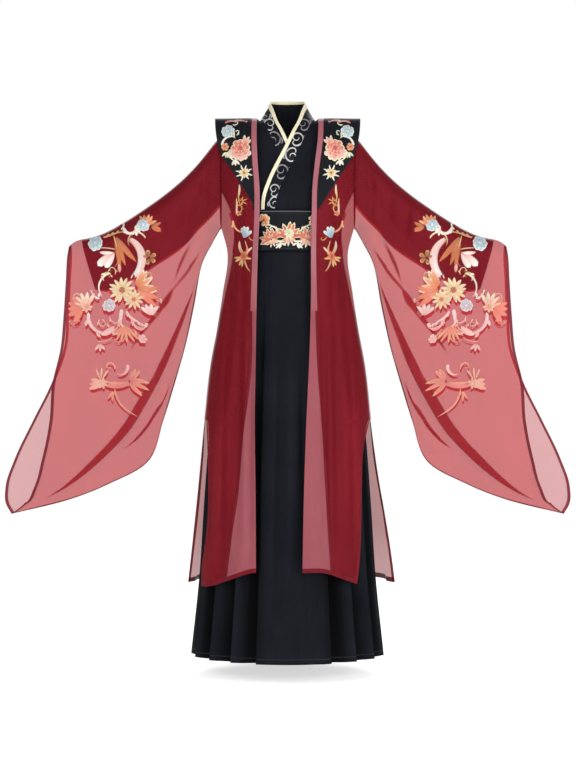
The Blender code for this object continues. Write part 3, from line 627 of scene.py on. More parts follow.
panels = []
for name, seam, next_seam, count in (("front", *FRONT_PANEL, 46),
                                     ("back", LEFT_PLEATS[-1], 360 + RIGHT_PLEATS[-1], 42)):
    turns = np.linspace(seam + PANEL_PARTING, next_seam - PANEL_PARTING, count)
    # painted shade on the panel's edges, where the pleats beside it fold under
    seam_shade = 0.5 * smooth(np.abs(np.linspace(-1, 1, count)), 0.6, 1.0)
    panels.append((name, turns, turns, 0 * turns, seam_shade))
for side, pleats in (("left", LEFT_PLEATS), ("right", RIGHT_PLEATS)):
    way = math.copysign(PANEL_PARTING, pleats[1] - pleats[0])
    even = np.linspace(0, 1, len(PLEAT_FOLD), endpoint=False)
    for place, first, last in SIDE_PANELS:
        low, high, dips = [], [], []
        for k in range(first, last):
            wide = pleats[k + 1] - pleats[k]
            low.extend(pleats[k] + wide * even)
            high.extend(pleats[k] + wide * PLEAT_FOLD[:, 0])
            dips.extend(PLEAT_FOLD[:, 1] * PLEAT_DEPTH * PLEAT_EVENNESS[k])
        low, high = np.append(low, pleats[last]), np.append(high, pleats[last])
        dips = np.append(dips, 0.0)
        low[[0, -1]] += (way, -way)
        high[[0, -1]] += (way, -way)
        # painted shade in each pleat's valley, darker where the cloth turns further in
        valley_shade = smooth(-dips / PLEAT_DEPTH, 0.06, 0.62)
        panels.append((f"{side}_{place}", low, high, dips, valley_shade))
# each panel's mesh carries its painted shade, which darkens the crepe's colour
for name, low, high, dips, pleat_shade in panels:
    grid = skirt_panel(low, high, dips)
    pleat_shade = pleat_shade * smooth(-grid[..., 2], *PLEAT_SHADE_GROW)
    made = piece(f"skirt_{name}_crepe", mesh_of(name, grid, painted_shade=pleat_shade), black_crepe,
                 "skirt_" + name, CREPE)
    stitched = edging(grid, "low", SKIRT_HEM, 0.0005, 2)[1]
    sewn = stitches(f"skirt_{name}_hem_stitches", stitched, outward(grid)[1], HEM_STITCH,
                    black_thread)

# ---------------------------------------------------------------- the belt
# A wide stiffened belt of black satin over the waist seam, wadded a little, with a fine grey cord
# sewn along its top edge and rows of stitches along both edges.
BELT_LOW_Z = -0.351
BELT_TOP_Z = -0.245
BELT_OUT = 0.0118
BELT_WALL = 0.0024
BELT_SWELL = 0.0011
BELT_STITCH = (0.0030, 0.0015, 0.0003)
CORD_OUT = 0.0006
CORD_RADIUS = 0.0007
BELT_TENSION = [  # from degrees, mm, to degrees, mm, bow, width, depth in mm
    (-40, -262, -16, -270, 4, 50, 0.7),
    (-44, -330, -20, -322, -4, 50, -0.7),
    (38, -268, 15, -260, 4, 50, -0.6),
    (46, -325, 22, -333, -4, 50, 0.7),
]


def belt_ring(z, out, count):
    """A closed ring of the dress's form at each height, moved out by the given distance."""
    angle = np.linspace(-math.pi, math.pi, count, endpoint=False)[None, :]
    z = z[:, None]
    back = np.cos(angle) < 0
    half_width = widths(DRESS, z, False)[0] + out
    depth = np.where(back, widths(DRESS, z, True)[1], widths(DRESS, z, False)[1]) + out
    return np.stack([half_width * np.sin(angle), -depth * np.cos(angle),
                     np.broadcast_to(z, (len(z), count))], axis=-1)


z = np.linspace(BELT_LOW_Z, BELT_TOP_Z, 23)
share = (z - BELT_LOW_Z) / (BELT_TOP_Z - BELT_LOW_Z)
swell = BELT_SWELL * (np.sqrt(np.clip(1 - (2 * share - 1) ** 6, 0, 1)) - 1)
angle = np.degrees(np.linspace(-math.pi, math.pi, 240, endpoint=False))[None, :]
pull = sum(creases(angle / 100, z[:, None] * 4, [(a * 10, b * 4, c * 10, d * 4, bow, w, deep)])
           for a, b, c, d, bow, w, deep in BELT_TENSION)
belt_grid = belt_ring(z, BELT_OUT + swell[:, None] + pull, 240)
core = np.zeros_like(belt_grid)
core[..., 2] = belt_grid[..., 2]
belt = piece("belt_satin", mesh_of("belt_satin", belt_grid, True, core), black_satin,
             "belt", BELT_WALL)
belt_out = outward(belt_grid, core, True)


def ring(row):
    """A closed row of points with its first one again at the end."""
    return np.concatenate([row, row[:1]])


def tube_along(name, path, radius, material, sides=6):
    """A round cord: a circle of points carried along a path, square to it."""
    ahead = np.gradient(path, axis=0)
    ahead /= np.linalg.norm(ahead, axis=1, keepdims=True)
    first = np.cross(ahead, [0.0, 0.0, 1.0])
    first /= np.maximum(np.linalg.norm(first, axis=1, keepdims=True), 1e-9)
    second = np.cross(ahead, first)
    angle = np.linspace(0, 2 * math.pi, sides, endpoint=False)[None, :, None]
    grid = path[:, None] + radius * (first[:, None] * np.cos(angle) + second[:, None]
                                     * np.sin(angle))
    core = np.broadcast_to(path[:, None], grid.shape)
    return piece(name, mesh_of(name, grid, True, core), material)


silver_thread = cloth("silver_thread", (0.24, 0.23, 0.24), (0.13, 0.125, 0.13), 0.40,
                      threads=700.0, relief=0.0001, sheen=0.15)
silver_thread.node_tree.nodes["Principled BSDF"].inputs["Metallic"].default_value = 0.2
belt_cord = tube_along("belt_top_cord", ring(belt_grid[-2] + CORD_OUT * belt_out[-2]), CORD_RADIUS,
                       silver_thread)
belt_sewing = [stitches(f"belt_stitches_{k}", ring(belt_grid[row]), ring(belt_out[row]),
                        BELT_STITCH, black_thread)
               for k, row in enumerate((1, -3))]

# The embroidery is dyed silk in satin stitch. Each petal, leaf or stem is one padded patch of it
# on an arc, sewn over the one before, and stands a millimetre proud of the cloth.
SILKS = {
    "cream": (0.704, 0.607, 0.414), "gold": (0.576, 0.378, 0.135), "peach": (0.671, 0.327, 0.181),
    "orange": (0.568, 0.146, 0.0473), "salmon": (0.622, 0.185, 0.126),
    "rose": (0.489, 0.094, 0.094), "pink": (0.688, 0.43, 0.396), "white": (0.722, 0.705, 0.654),
    "blue": (0.395, 0.536, 0.602), "mist": (0.244, 0.329, 0.395), "green": (0.47, 0.526, 0.338),
    "silver": (0.338, 0.32, 0.348), "brown": (0.338, 0.113, 0.047), "dusk": (0.15, 0.141, 0.16)}
PATCH_SHAPES = {  # powers of the distance from the start and from the end in a patch's width
    "petal": (0.80, 0.34), "leaf": (0.75, 0.75), "scroll": (0.16, 0.62), "stem": (0.10, 0.25)}
PATCH_ACROSS = np.array([-1.0, -0.6, 0.0, 0.6, 1.0])
PATCH_HIGH = 0.0010
PATCH_STEP = 0.00030
THIN_TINT = np.array((0.58, 0.17, 0.17))  # sheer red cloth seen between pale threads
rng = np.random.default_rng(11)

stitch, given, taken = group("satin_stitch", [("UV", "Vector")],
                             [("Height", "Float"), ("Shade", "Float")])
slant = add(stitch, "VectorMath", {0: given["UV"], 1: (1300.0, 420.0, 0.0)},
            operation="DOT_PRODUCT").outputs["Value"]
ridge = calc(stitch, "ABSOLUTE", calc(stitch, "SINE", calc(stitch, "MULTIPLY", slant, math.pi)))
stitch.links.new(ridge, taken["Height"])
strand = add(stitch, "TexNoise", {"Vector": add(stitch, "CombineXYZ", {0: slant}).outputs[0],
                                  "Scale": 1.0, "Detail": 1.0})
stitch.links.new(add(stitch, "MapRange", {"Value": strand.outputs["Fac"], "From Min": 0.3,
                                          "From Max": 0.7, "To Min": 0.74,
                                          "To Max": 1.08}).outputs[0], taken["Shade"])

silk, tree, shader = blank("embroidery_silk")
sewing = add(tree, "Group", node_tree=stitch)
fill(tree, sewing, {"UV": add(tree, "UVMap", uv_map="cloth").outputs[0]})
tone = add(tree, "Attribute", attribute_name="thread").outputs["Color"]
lit = add(tree, "VectorMath", {0: tone, 1: sewing.outputs["Shade"]}, operation="MULTIPLY")
bump = add(tree, "Bump", {"Height": sewing.outputs["Height"], "Distance": 0.00012,
                          "Strength": 0.7})
fill(tree, shader, {"Base Color": lit.outputs[0], "Normal": bump.outputs[0], "Roughness": 0.42,
                    "Specular IOR Level": 0.30})


def petal(x, z, heading, long, wide, base, tip, level=0, bend=0, curl=0, shape="petal"):
    """A patch, in millimetres: its start, heading in degrees, length, half width, silks, level
    and turning."""
    return x, z, heading, long, wide, base, tip, level, bend, curl, shape


def fan(x, z, r, headings, wide, silks, level=0, shape="petal", rim=None, start=0.12):
    """Petals round a centre, each with a paler rim under it where one is named."""
    made = []
    for heading in headings:
        turn = heading + rng.uniform(-4, 4)
        reach, bend = r * rng.uniform(0.9, 1.06), rng.uniform(-16, 16)
        at = np.array([math.cos(math.radians(turn)), math.sin(math.radians(turn))]) * start * r
        if rim:
            made.append(petal(x + at[0], z + at[1], turn, reach, wide * r, rim, rim, level, bend,
                              0, shape))
        made.append(petal(x + at[0], z + at[1], turn, reach * (0.94 if rim else 1),
                          wide * r * (0.84 if rim else 1), *silks, level + 0.6, bend, 0, shape))
    return made


def blossom(x, z, r, petals, silks, heart, rim=None, layers=3, wide=None, shape="petal", turn=0):
    """A round flower: rings of petals, each smaller and between those below, and a heart."""
    made = []
    for layer in range(layers):
        reach, count = r * (1 - 0.27 * layer), petals - layer
        spread = np.arange(count) * 360 / count + turn + 180 * layer / count
        made += fan(x, z, reach * 0.88, spread, wide or 2.5 / count, silks, layer * 1.3, shape,
                    rim)
    spread = np.arange(7) * 360 / 7
    return made + fan(x, z, r * 0.22, spread, 0.30, (heart, heart), layers * 1.3 + 1, "leaf")


def lotus(x, z, r, silks, rim, turn=90):
    """A flower seen from the side: pointed petals in a fan, a shorter fan on it, and a cup."""
    side = np.array([-82, -56, -28, 0, 28, 56, 82]) + turn
    near = np.array([-44, -15, 15, 44]) + turn
    cup = np.array([-118, 118, -150, 150]) + turn
    return (fan(x, z, r, side, 0.17, silks, 0, "leaf", rim, 0.05)
            + fan(x, z, 0.70 * r, near, 0.21, silks[::-1], 1.6, "leaf", rim, 0.05)
            + fan(x, z, 0.52 * r, cup, 0.20, (rim, silks[1]), 1.0, "leaf", None, 0.1)
            + fan(x, z, 0.44 * r, (turn - 30, turn, turn + 30), 0.20, (silks[0], rim), 3.2,
                  "leaf"))


def scroll(x, z, heading, long, wide, silks, bend=0, curl=0, leaves=0, level=0):
    """A tapering stem that may curl up at its end, with small leaves on its outer side."""
    main = petal(x, z, heading, long, wide, *silks, level, bend, curl, "scroll")
    made = [main]
    line, ahead = arcs([main], 40)[:2]
    side = -math.copysign(52, bend + curl)
    for k in range(leaves):
        at = int(6 + 26 * k / max(leaves - 1, 1))
        turn = math.degrees(math.atan2(ahead[0, at, 1], ahead[0, at, 0])) + side
        made.append(petal(*line[0, at], turn, long * 0.17, max(wide * 0.62, long * 0.035),
                          silks[1], silks[0], level - 0.3, -side * 0.9, 0, "leaf"))
    return made


def arcs(patches, rows):
    """The arcs' points, their headings and the share of the way along. At a share s the heading
    is h + b s + c s^3, and the points add up its direction in equal steps."""
    x, z, heading, long, bend, curl = [np.array([p[k] for p in patches])[:, None]
                                       for k in (0, 1, 2, 3, 8, 9)]
    s = np.linspace(0, 1, rows)[None, :]
    turn = np.radians(heading + bend * s + curl * s**3)
    ahead = np.stack([np.cos(turn), np.sin(turn)], axis=-1)
    steps = (ahead[:, 1:] + ahead[:, :-1]) / 2 * (long / (rows - 1))[..., None]
    start = np.stack([x, z], axis=-1)
    return np.concatenate([start, start + np.cumsum(steps, axis=1)], axis=1), ahead, s


def walked(plane, target):
    """Each target's place in a grid of points of the plane, as a row and a column with fractions:
    from the nearest grid point, Newton steps follow the gradients of the plane's points."""
    near = plane[::4, ::4]
    gap = target[:, target.shape[1] // 2, target.shape[2] // 2][:, None] - near.reshape(1, -1, 2)
    row, column = np.divmod(np.argmin(np.sum(gap**2, axis=-1), axis=1), near.shape[1])
    at = np.stack([row, column], axis=-1)[:, None, None] * 4.0 + np.zeros_like(target)
    most = np.array(plane.shape[:2]) - 1.001
    for _ in range(9):
        at = np.clip(at, 0.0, most)
        here, along_row, along_column = sampled(plane, at)
        gap = target - here
        det = along_row[..., 0] * along_column[..., 1] - along_row[..., 1] * along_column[..., 0]
        det = np.where(np.abs(det) < 1e-12, 1e-12, det)
        step = np.stack([gap[..., 0] * along_column[..., 1] - gap[..., 1] * along_column[..., 0],
                         gap[..., 1] * along_row[..., 0] - gap[..., 0] * along_row[..., 1]],
                        axis=-1) / det[..., None]
        at = at + np.clip(step, -8, 8)
    return np.clip(at, 0.0, most)


def sampled(grid, at):
    """A grid's value between its points, and how it changes from row to row and across."""
    k = at.astype(int)
    t = (at - k)[..., None]
    a, b = grid[k[..., 0], k[..., 1]], grid[k[..., 0], k[..., 1] + 1]
    c, d = grid[k[..., 0] + 1, k[..., 1]], grid[k[..., 0] + 1, k[..., 1] + 1]
    low, high = a + (b - a) * t[..., 1, :], c + (d - c) * t[..., 1, :]
    left, right = a + (c - a) * t[..., 0, :], b + (d - b) * t[..., 0, :]
    return low + (high - low) * t[..., 0, :], high - low, right - left


def embroider(name, patches, grid, back, plane=None, thin=0):
    """Patches drawn in x and z, laid on a cloth's grid and padded out along its normals. The
    plane gives the cloth's points as they were before it was folded, where it was. Thin is how
    much of the sheer cloth shows between the threads of the lowest flowers."""
    side = 1 if np.mean(grid[..., 0]) > -0.01 else -1
    plane = grid[..., (0, 2)] * (side, 1) if plane is None else plane
    out = normals(grid)
    out = out * (1 if (np.mean(out[..., 1]) > 0) == back else -1)
    made = []
    for part, rows in (("petals", 10), ("stems", 26)):
        some = [p for p in patches if (abs(p[8]) + abs(p[9]) > 90) == (part == "stems")]
        if not some:
            continue
        line, ahead, s = arcs(some, rows)
        long, wide, level = [np.array([p[k] for p in some])[:, None] for k in (3, 4, 7)]
        line, long, wide = line / 1000, long / 1000, wide / 1000
        first, last = [np.array([PATCH_SHAPES[p[10]][k] for p in some])[:, None] for k in (0, 1)]
        middle = first / (first + last)
        full = s**first * (1 - s)**last / (middle**first * (1 - middle)**last)
        half = np.maximum(wide * full, 0.0001)
        aside = np.stack([-ahead[..., 1], ahead[..., 0]], axis=-1)
        flat = line[:, :, None] + aside[:, :, None] * (half[..., None] * PATCH_ACROSS)[..., None]
        pad = PATCH_HIGH * np.clip(wide / 0.004, 0.35, 1) * full
        high = 0.0003 + PATCH_STEP * level[..., None] + pad[..., None] * (1 - PATCH_ACROSS**2)
        base, tip = [np.array([SILKS[p[k]] for p in some])[:, None] for k in (5, 6)]
        even = rng.uniform(0.86, 1.08, (len(some), 1, 1, 1))
        tones = (base + (tip - base) * s[..., None])[:, :, None] * even \
            * (1 - 0.30 * PATCH_ACROSS**4)[:, None]
        tones += (THIN_TINT - tones) * thin * smooth(-line[..., 1], 0.38, 0.60)[..., None, None]
        at = walked(plane, flat)
        up = sampled(out, at)[0]
        points = sampled(grid, at)[0] + up * high[..., None]
        uv = np.stack(np.broadcast_arrays((long * s)[..., None], half[..., None] * PATCH_ACROSS),
                      axis=-1)
        made.append(piece(f"{name}_{part}", strips(part, points, up[:, :, 2], uv, tones), silk))
    return made


def turned(way, heading):
    """A heading as it is on the wearer's left, or its mirror image on the right."""
    return heading if way > 0 else 180 - heading


BELT_MIDDLE_X = 4
BELT_SCROLLS = (  # out from the middle, z, heading, length, half width, silks, bend, curl, leaves
    (12, -327, -6, 46, 2.6, ("white", "green"), 34, 60, 3),
    (30, -300, 62, 40, 2.2, ("cream", "white"), -52, -330, 3),
    (48, -286, 40, 26, 2.0, ("cream", "peach"), -120, -260, 2),
    (58, -335, 12, 32, 2.2, ("cream", "salmon"), 80, 250, 2))
belt_art = []
for x, z, r in ((-42, -322, 31), (48, -322, 31), (3, -315, 37)):
    belt_art += lotus(x, z, r, ("rose", "orange"), "cream", 90 - (x - 3) / 2)
    belt_art += fan(x, z - 2, 0.55 * r, (205, 235, 270, 305, 335), 0.15, ("salmon", "white"), 0.8,
                    "leaf", "cream")
belt_art += fan(BELT_MIDDLE_X, -306, 13, np.arange(0, 360, 40), 0.30, ("green", "cream"), 5,
                "leaf")
for way in (-1, 1):
    for x, z, heading, long, wide, silks, bend, curl, leaves in BELT_SCROLLS:
        belt_art += scroll(BELT_MIDDLE_X + way * x, z, turned(way, heading), long, wide, silks,
                           bend * way, curl * way, leaves)
    belt_art += fan(BELT_MIDDLE_X + way * 66, -271, 15,
                    [turned(way, heading) for heading in (10, 60, 110, 160, 210, 280)], 0.34,
                    ("orange", "peach"), 0.5, "petal", "cream")
    for heading, long in ((-50, 20), (-28, 17), (-75, 15), (200, 13)):
        belt_art.append(petal(BELT_MIDDLE_X + way * 20, -332, turned(way, heading), long, 2.8,
                              "cream", "white", 0.4, 20 * way, 0, "leaf"))
belt_sewing += embroider("belt_embroidery", belt_art, belt_grid[:, 60:181], False)

# ---------------------------------------------------------------- the collar
# A crossed band of black satin, edged with cream ribbon folded over its inner edge so that two
# cream ridges show. It lies on the fronts' slanting edges and stands round the neck.
NECK_FRONT = table("z inner_x inner_y inner_z", [
    (-5, 35, -34, 20),
    (0, 45, -3, 44),
])
NECK_BACK = table("turn inner_x inner_y inner_z outer_x outer_y", [
    (0.35, 44, 22, 54, 66, 30),
    (0.70, 27, 44, 57.5, 43, 59),
    (1.00, 0.3, 52, 59, 0.3, 70),
], "turn")
BAND_STEPS = 20           # across the band
NECK_EASED = 0.5
EASE_PASSES = 50
EASE_FROM = (-0.075, -0.035)
RIBBON_STITCH = (0.0022, 0.0012, 0.0003)
RIBBON_SEWN = 11          # the ribbon's row between its two ridges
RIBBON_RIDGES = [         # share of the ribbon's width, mm over the band; it starts inside
    (0.42, -1.4), (0.38, -1.8), (0.30, -1.9), (0.06, -1.8), (-0.03, -1),
    (-0.03, 0), (0.00, 0.6), (0.06, 1.3), (0.20, 2), (0.36, 1.8), (0.46, 0.9),
    (0.50, 0.6), (0.54, 1), (0.66, 1.9), (0.82, 1.9), (0.94, 1.2),
    (1.00, 0.4)]


def neck_base(x, y):
    """Height of the collar's outer edge on the back: just off the dress at that place."""
    half_width, depth = widths(DRESS, SHOULDER_BEND, True)
    reach = min(y / (depth * math.sqrt(1 - (x / half_width) ** 2)), 1)
    rise = (1 - reach ** (2 / BEND_FULLNESS)) ** (BEND_FULLNESS / 2)
    return SHOULDER_BEND * (1 - rise) + LAYER + 0.0004


def resampled(grid, rows, across):
    """A finer grid through a coarse one's points, by smooth cubic pieces along both axes."""
    for axis, count in ((0, rows), (1, across)):
        moved = grid.swapaxes(0, axis)
        at = np.linspace(0, len(moved) - 1, count)
        k = np.clip(at.astype(int), 0, len(moved) - 2)
        t = (at - k)[:, None, None]
        slope = np.gradient(moved, axis=0)
        grid = cubic(t, moved[k], moved[k + 1], slope[k], slope[k + 1]).swapaxes(0, axis)
    return grid


def between(grid, at):
    """A grid's values at columns that are given as numbers with fractions."""
    k = np.clip(np.floor(at).astype(int), 0, grid.shape[1] - 2)
    t = (at - k)[None, :, None]
    return grid[:, k] * (1 - t) + grid[:, k + 1] * t


def collar_grid(front):
    """Half of the collar on the wearer's left: it lies on the front, then stands round the neck to
    the back's middle."""
    z = finer(BODICE_ROWS, CUT_STEP)
    band = moved_out(front, LAYER)[:, :9]
    share = np.concatenate([[0, 0.125], 0.25 + 0.75 * np.arange(7) / 6])[:, None]
    lying = band[z <= -0.015]
    standing = []
    for row in (-0.005, 0.0):
        inner = np.array([look(NECK_FRONT, c, row) for c in ("inner_x", "inner_y", "inner_z")])
        standing.append(inner + (band[np.argmin(np.abs(z - row)), 8] - inner) * share)
    inner_start, outer_start = standing[-1][0], standing[-1][8]
    for turn in (0.18, 0.35, 0.53, 0.70, 0.86, 1.0):
        blend = min(turn / 0.35, 1)
        row = {c: look(NECK_BACK, c, turn) for c in NECK_BACK}
        outer_x = outer_start[0] + (row["outer_x"] - outer_start[0]) * blend
        outer_y = row["outer_y"] * blend
        inner = inner_start + (np.array([row["inner_x"], row["inner_y"], row["inner_z"]])
                               - inner_start) * blend
        outer = np.array([outer_x, outer_y, neck_base(outer_x, outer_y)])
        standing.append(inner + (outer - inner) * share)
    around = resampled(np.concatenate([lying[-1:], standing]), 64, 9)
    return resampled(np.concatenate([lying, around[1:]]), 220, BAND_STEPS + 1)


cream_satin = cloth("cream_satin", (0.80, 0.735, 0.545), (0.66, 0.585, 0.40), 0.42,
                    threads=2400.0, relief=0.00003, sheen=0.15)
CLOUD_ROUND = 0.80        # from a cloud's middle to its start, as a share of its size


def cloud(x, z, heading, size, silks):
    """A cloud scroll round a point: one wide open spiral, a hook that turns back below it towards
    the same side, and a bud."""
    turn = math.radians(heading)
    x, z = x + CLOUD_ROUND * size * math.sin(turn), z - CLOUD_ROUND * size * math.cos(turn)
    return (scroll(x, z, heading, 5.0 * size, 0.13 * size, silks, 270, 150)
            + scroll(x, z, heading + 180, 2.6 * size, 0.14 * size, silks, -90, -150, 0, 1)
            + scroll(x, z, heading - 34, 1.3 * size, 0.12 * size, silks, 60, 70, 0, 2))


COLLAR_CLOUDS = {  # x, z, heading, size in mm, how bright
    "left": ((44.5, -19, 80, 15, 0), (27, -62, 62, 16, 1), (8, -103, 244, 16, 1),
             (-13, -148, 66, 16.5, 0), (-32, -196, 72, 13.5, 1), (-37, -227, 250, 12.5, 1)),
    "right": ((57, 9, 250, 13, 1), (50, -19, 70, 15, 1), (33, -60, 250, 17, 0))}
for side, front in (("left", over), ("right", mirrored(under, "right"))):
    band = collar_grid(front)
    for _ in range(EASE_PASSES):
        even = (band[:-2] + band[2:]) / 2
        band[1:-1] += (even - band[1:-1]) * NECK_EASED * smooth(band[1:-1, :1, 2:], *EASE_FROM)
    band[-1, :, 0] = -0.0004
    out = outward(band)
    wide = np.array(RIBBON_RIDGES)
    at = wide[:, 0] * RIBBON_SHARE * BAND_STEPS
    lean = between(out, at)
    edge = between(band, at) + lean * wide[None, :, 1:] / 1000
    band, edge, lean = [mirrored(grid, side) for grid in (band, edge, lean)]
    cover = piece(f"collar_{side}_satin", mesh_of("collar_band", band), black_satin,
                  "collar_" + side, CREPE)
    ribbon = piece(f"collar_{side}_ribbon", mesh_of("collar_ribbon", edge), cream_satin,
                   "collar_edge_" + side)
    sewn = stitches(f"collar_{side}_stitches", edge[:, RIBBON_SEWN], lean[:, RIBBON_SEWN],
                    RIBBON_STITCH, silver_thread)
    clouds = [patch for x, z, heading, size, bright in COLLAR_CLOUDS[side]
              for patch in cloud(x, z, heading, size, ("silver", "white") if bright
                                 else ("dusk", "silver"))]
    facing_front = band[:int(np.sum(band[:, BAND_STEPS // 2, 1] < 0.012))]
    art = embroider(f"collar_{side}_embroidery", clouds, facing_front, False,
                    plane=facing_front[..., (0, 2)] * (1 if side == "left" else -1, 1))

# ---------------------------------------------------------------- the robe's body
# Sheer red chiffon in two fronts and a back, sewn at the sides from the armpit to the slits. The
# fronts have an opaque lining, which is cut away in a wedge under the arm. Narrow hems all round.
LINING_LIFT = 0.0020
ROBE_LIFT = 0.0040
LINING_IN = 0.0040
ARMPIT_Z = -0.285
SLIT_TOP_Z = -0.790
ROBE_HEM_FRONT_Z = -1.176
ROBE_HEM_SIDE_Z = -1.221
ROBE_NECK_X = 0.0806
ROBE_NECK_DIP = 0.060
NECK_EASE = 0.0030
BACK_SPREAD = 0.020
SLIT_FLARE = 0.013
BACK_BAND_OUT = 0.0018
HEM_LIFT = 0.0004
ROBE_HEM = 0.011
SLIT_HEM = 0.008
ARMHOLE_SEAM = 0.004
ROBE_STEP = 0.009         # between the rows of the robe
LINING_STARTS = -0.500    # above this height the lining is cut away in a wedge under the arm
ROBE_ROWS = (-1.222, -1.090, -0.970, -0.860, -0.780, -0.650, -0.545, -0.445, -0.345, -0.285,
             -0.235, -0.176) + BEND_ROWS
ROBE = table("z front_width back_width front_depth back_depth", [
    (-120, 196, 196, 124, 114),
    (-200, 191, 191, 132, 112),
    (-250, 184, 184, 128, 108),
    (-285, 175.5, 175.5, 126, 106),
    (-345, 160, 160, 124, 110),
    (-456, 172, 172, 136, 134),
    (-545, 186, 186, 150, 156),
    (-650, 205, 205, 167, 172),
    (-780, 219, 219, 184, 190),
    (-1000, 234, 240, 208, 214),
    (-1222, 249, 264, 230, 238),
])
FRONT_EDGE = table("z left right", [
    (0, 80.6, 80.6), (-66, 77.5, 80.3), (-125, 70, 77.5), (-182, 64, 73), (-260, 62, 72.9),
    (-354, 60, 77), (-474, 59.6, 79.7), (-657, 54, 82.2), (-792, 47.5, 83.6), (-954, 42, 81.7),
    (-1222, 37, 80.2)
])
BAND = table("z left right", [
    (0, 13.8, 13.8), (-350, 13.5, 14), (-474, 16, 15.5), (-657, 27, 18), (-792, 42, 30),
    (-954, 60, 46), (-1084, 69, 64), (-1222, 78, 79)
])
SLIT_EDGE = table("z left right", [
    (-790, 215, 213), (-857, 198, 209.5), (-955, 192, 206.5), (-1060, 189.5, 208.5),
    (-1120, 187.5, 215.5), (-1180, 183, 223.5), (-1222, 178, 223.5)
])
LINING_SIDE = table("z across", [
    (0, 174), (-190, 174), (-235, 153), (-285, 138), (-345, 142), (-420, 156), (-500, 173)
])
ROBE_CREASES = [  # mm: from x z, to x z, bow, width, depth; from the shoulder and armpit
    (128, -200, 100, -560, 10, 12, -2.8),
    (150, -235, 118, -420, 8, 10, 2.6),
    (166, -270, 132, -360, 6, 8, -3),
    (160, -250, 146, -345, 4, 7, 2.4),
    (146, -360, 168, -760, -6, 13, -3.2),
    (106, -420, 112, -1150, 4, 10, 1.4),
    (124, -480, 131, -1190, -3, 14, -3.8),
    (150, -520, 158, -1200, 3, 10, 2),
    (92, -520, 98, -1180, 0, 10, -2.6),
    (170, -640, 182, -1210, 3, 12, 3.6),
    (100, -60, 98, -200, 0, 12, 1),
]
FOLD_WAVES = ((62, 1.0, 1.0), (101, 0.5, 2.1))  # radians a metre, height, times the phase
WAVE_DEEP = 0.0046
WAVES_GROW = (0.40, 1.10)
FOLDS_MORE = 3.4          # the front's creases are deepened by this, and the back's by the next
BACK_MORE = 1.3
BACK_CREASES = [  # mm: the same columns
    (20, -160, 30, -900, 6, 18, -3.6),
    (-30, -200, -40, -1150, -4, 18, 3.6),
    (75, -180, 85, -1180, 4, 16, 4),
    (-90, -180, -100, -1160, -3, 16, -4),
    (150, -260, 110, -420, 10, 10, -3),
    (-150, -260, -112, -430, -10, 10, -3),
    (130, -500, 150, -1200, 0, 14, -3.6),
    (-140, -480, -165, -1200, 0, 14, 3.6),
    (0, -560, 2, -1210, 4, 16, 3.4),
    (52, -640, 56, -1200, 0, 12, -3.4),
    (190, -560, 215, -1200, 0, 12, 3.4),
    (-190, -600, -210, -1200, 0, 12, -3.4),
]


def folds(x, z, back):
    """Soft hanging folds of the robe: waves round the body that grow to the hem, and creases."""
    phase = 1.3 if back else 0.2
    wave = sum(share * np.sin(x * turns + shift * phase) for turns, share, shift in FOLD_WAVES)
    more, lines = (BACK_MORE, BACK_CREASES) if back else (FOLDS_MORE, ROBE_CREASES)
    return WAVE_DEEP * smooth(-z, *WAVES_GROW) * wave + more * creases(x, z, lines)


def robe_front(edges, counts, out=0.0, lift=ROBE_LIFT, hem_up=0.0):
    """A grid on one front: columns between the given edges, the hem lower towards the side."""
    z = finer(ROBE_ROWS, ROBE_STEP)
    x = columns(ROBE, z, False, edges, counts, out)
    half_width = widths(ROBE, z, False)[0][:, None]
    share = np.clip(x / half_width, 0, 1)
    hem_z = ROBE_HEM_FRONT_Z + (ROBE_HEM_SIDE_Z - ROBE_HEM_FRONT_Z) * smooth(share, 0.3, 0.9)
    low = smooth(-z[:, None], 0.85, -z[0])
    height = cloth_height(z)[:, None] + (hem_z + hem_up - z[0]) * low
    return on_form(ROBE, x, height, False, out + folds(x, z[:, None], False), lift)


def sheer(name, alpha, light):
    """Chiffon with a painted glow: its emission stands in for the light that comes through its
    threads from behind. Where a dark cloth hangs behind it, the glow is turned off and its
    colour gets painted shade.
    """
    made = cloth(name, (0.29, 0.014, 0.022), (0.25, 0.011, 0.018), 0.50, threads=900.0,
                 relief=0.000006, alpha=alpha, patch=9.0, gloss=0.04, painted_shade_tint=(0.72, 0.80, 0.90))
    tree = made.node_tree
    # painted glow: emission in the chiffon's colour, in place of light shining through it
    painted_glow = painted_shade_mix(tree, (*light, 1), (0.010, 0.0004, 0.0004), "MIX")
    fill(tree, tree.nodes["Principled BSDF"], {"Emission Color": painted_glow,
                                               "Emission Strength": 1.0})
    return made


chiffon = sheer("red_chiffon", 0.60, (0.19, 0.018, 0.018))
back_chiffon = sheer("red_chiffon_of_the_back", 0.77, (0.22, 0.020, 0.020))
crimson = cloth("crimson_lining", (0.098, 0.0034, 0.0080), (0.070, 0.0022, 0.0054), 0.46,
                relief=0.000005, gloss=0.04)
hem_chiffon = cloth("folded_chiffon", (0.155, 0.0070, 0.015), (0.115, 0.0052, 0.011), 0.50,
                    threads=900.0, relief=0.000008, alpha=0.92, gloss=0.08)
pink_satin = cloth("pink_satin", (0.315, 0.100, 0.122), (0.255, 0.078, 0.096), 0.36,
                   threads=2400.0, relief=0.00001, gloss=0.20)
tree = pink_satin.node_tree
height = add(tree, "SeparateXYZ", {0: add(tree, "TexCoord").outputs["Object"]}).outputs["Z"]
lower = add(tree, "MapRange", {"Value": height, "From Min": -0.34, "From Max": -0.50})
shader = tree.nodes["Principled BSDF"]
dyed = shader.inputs["Base Color"].links[0].from_socket
redder = add(tree, "Mix", {0: lower.outputs[0], 6: dyed, 7: (0.92, 0.70, 0.68, 1)},
             data_type="RGBA", blend_type="MULTIPLY")
fill(tree, shader, {"Base Color": redder.outputs[2]})
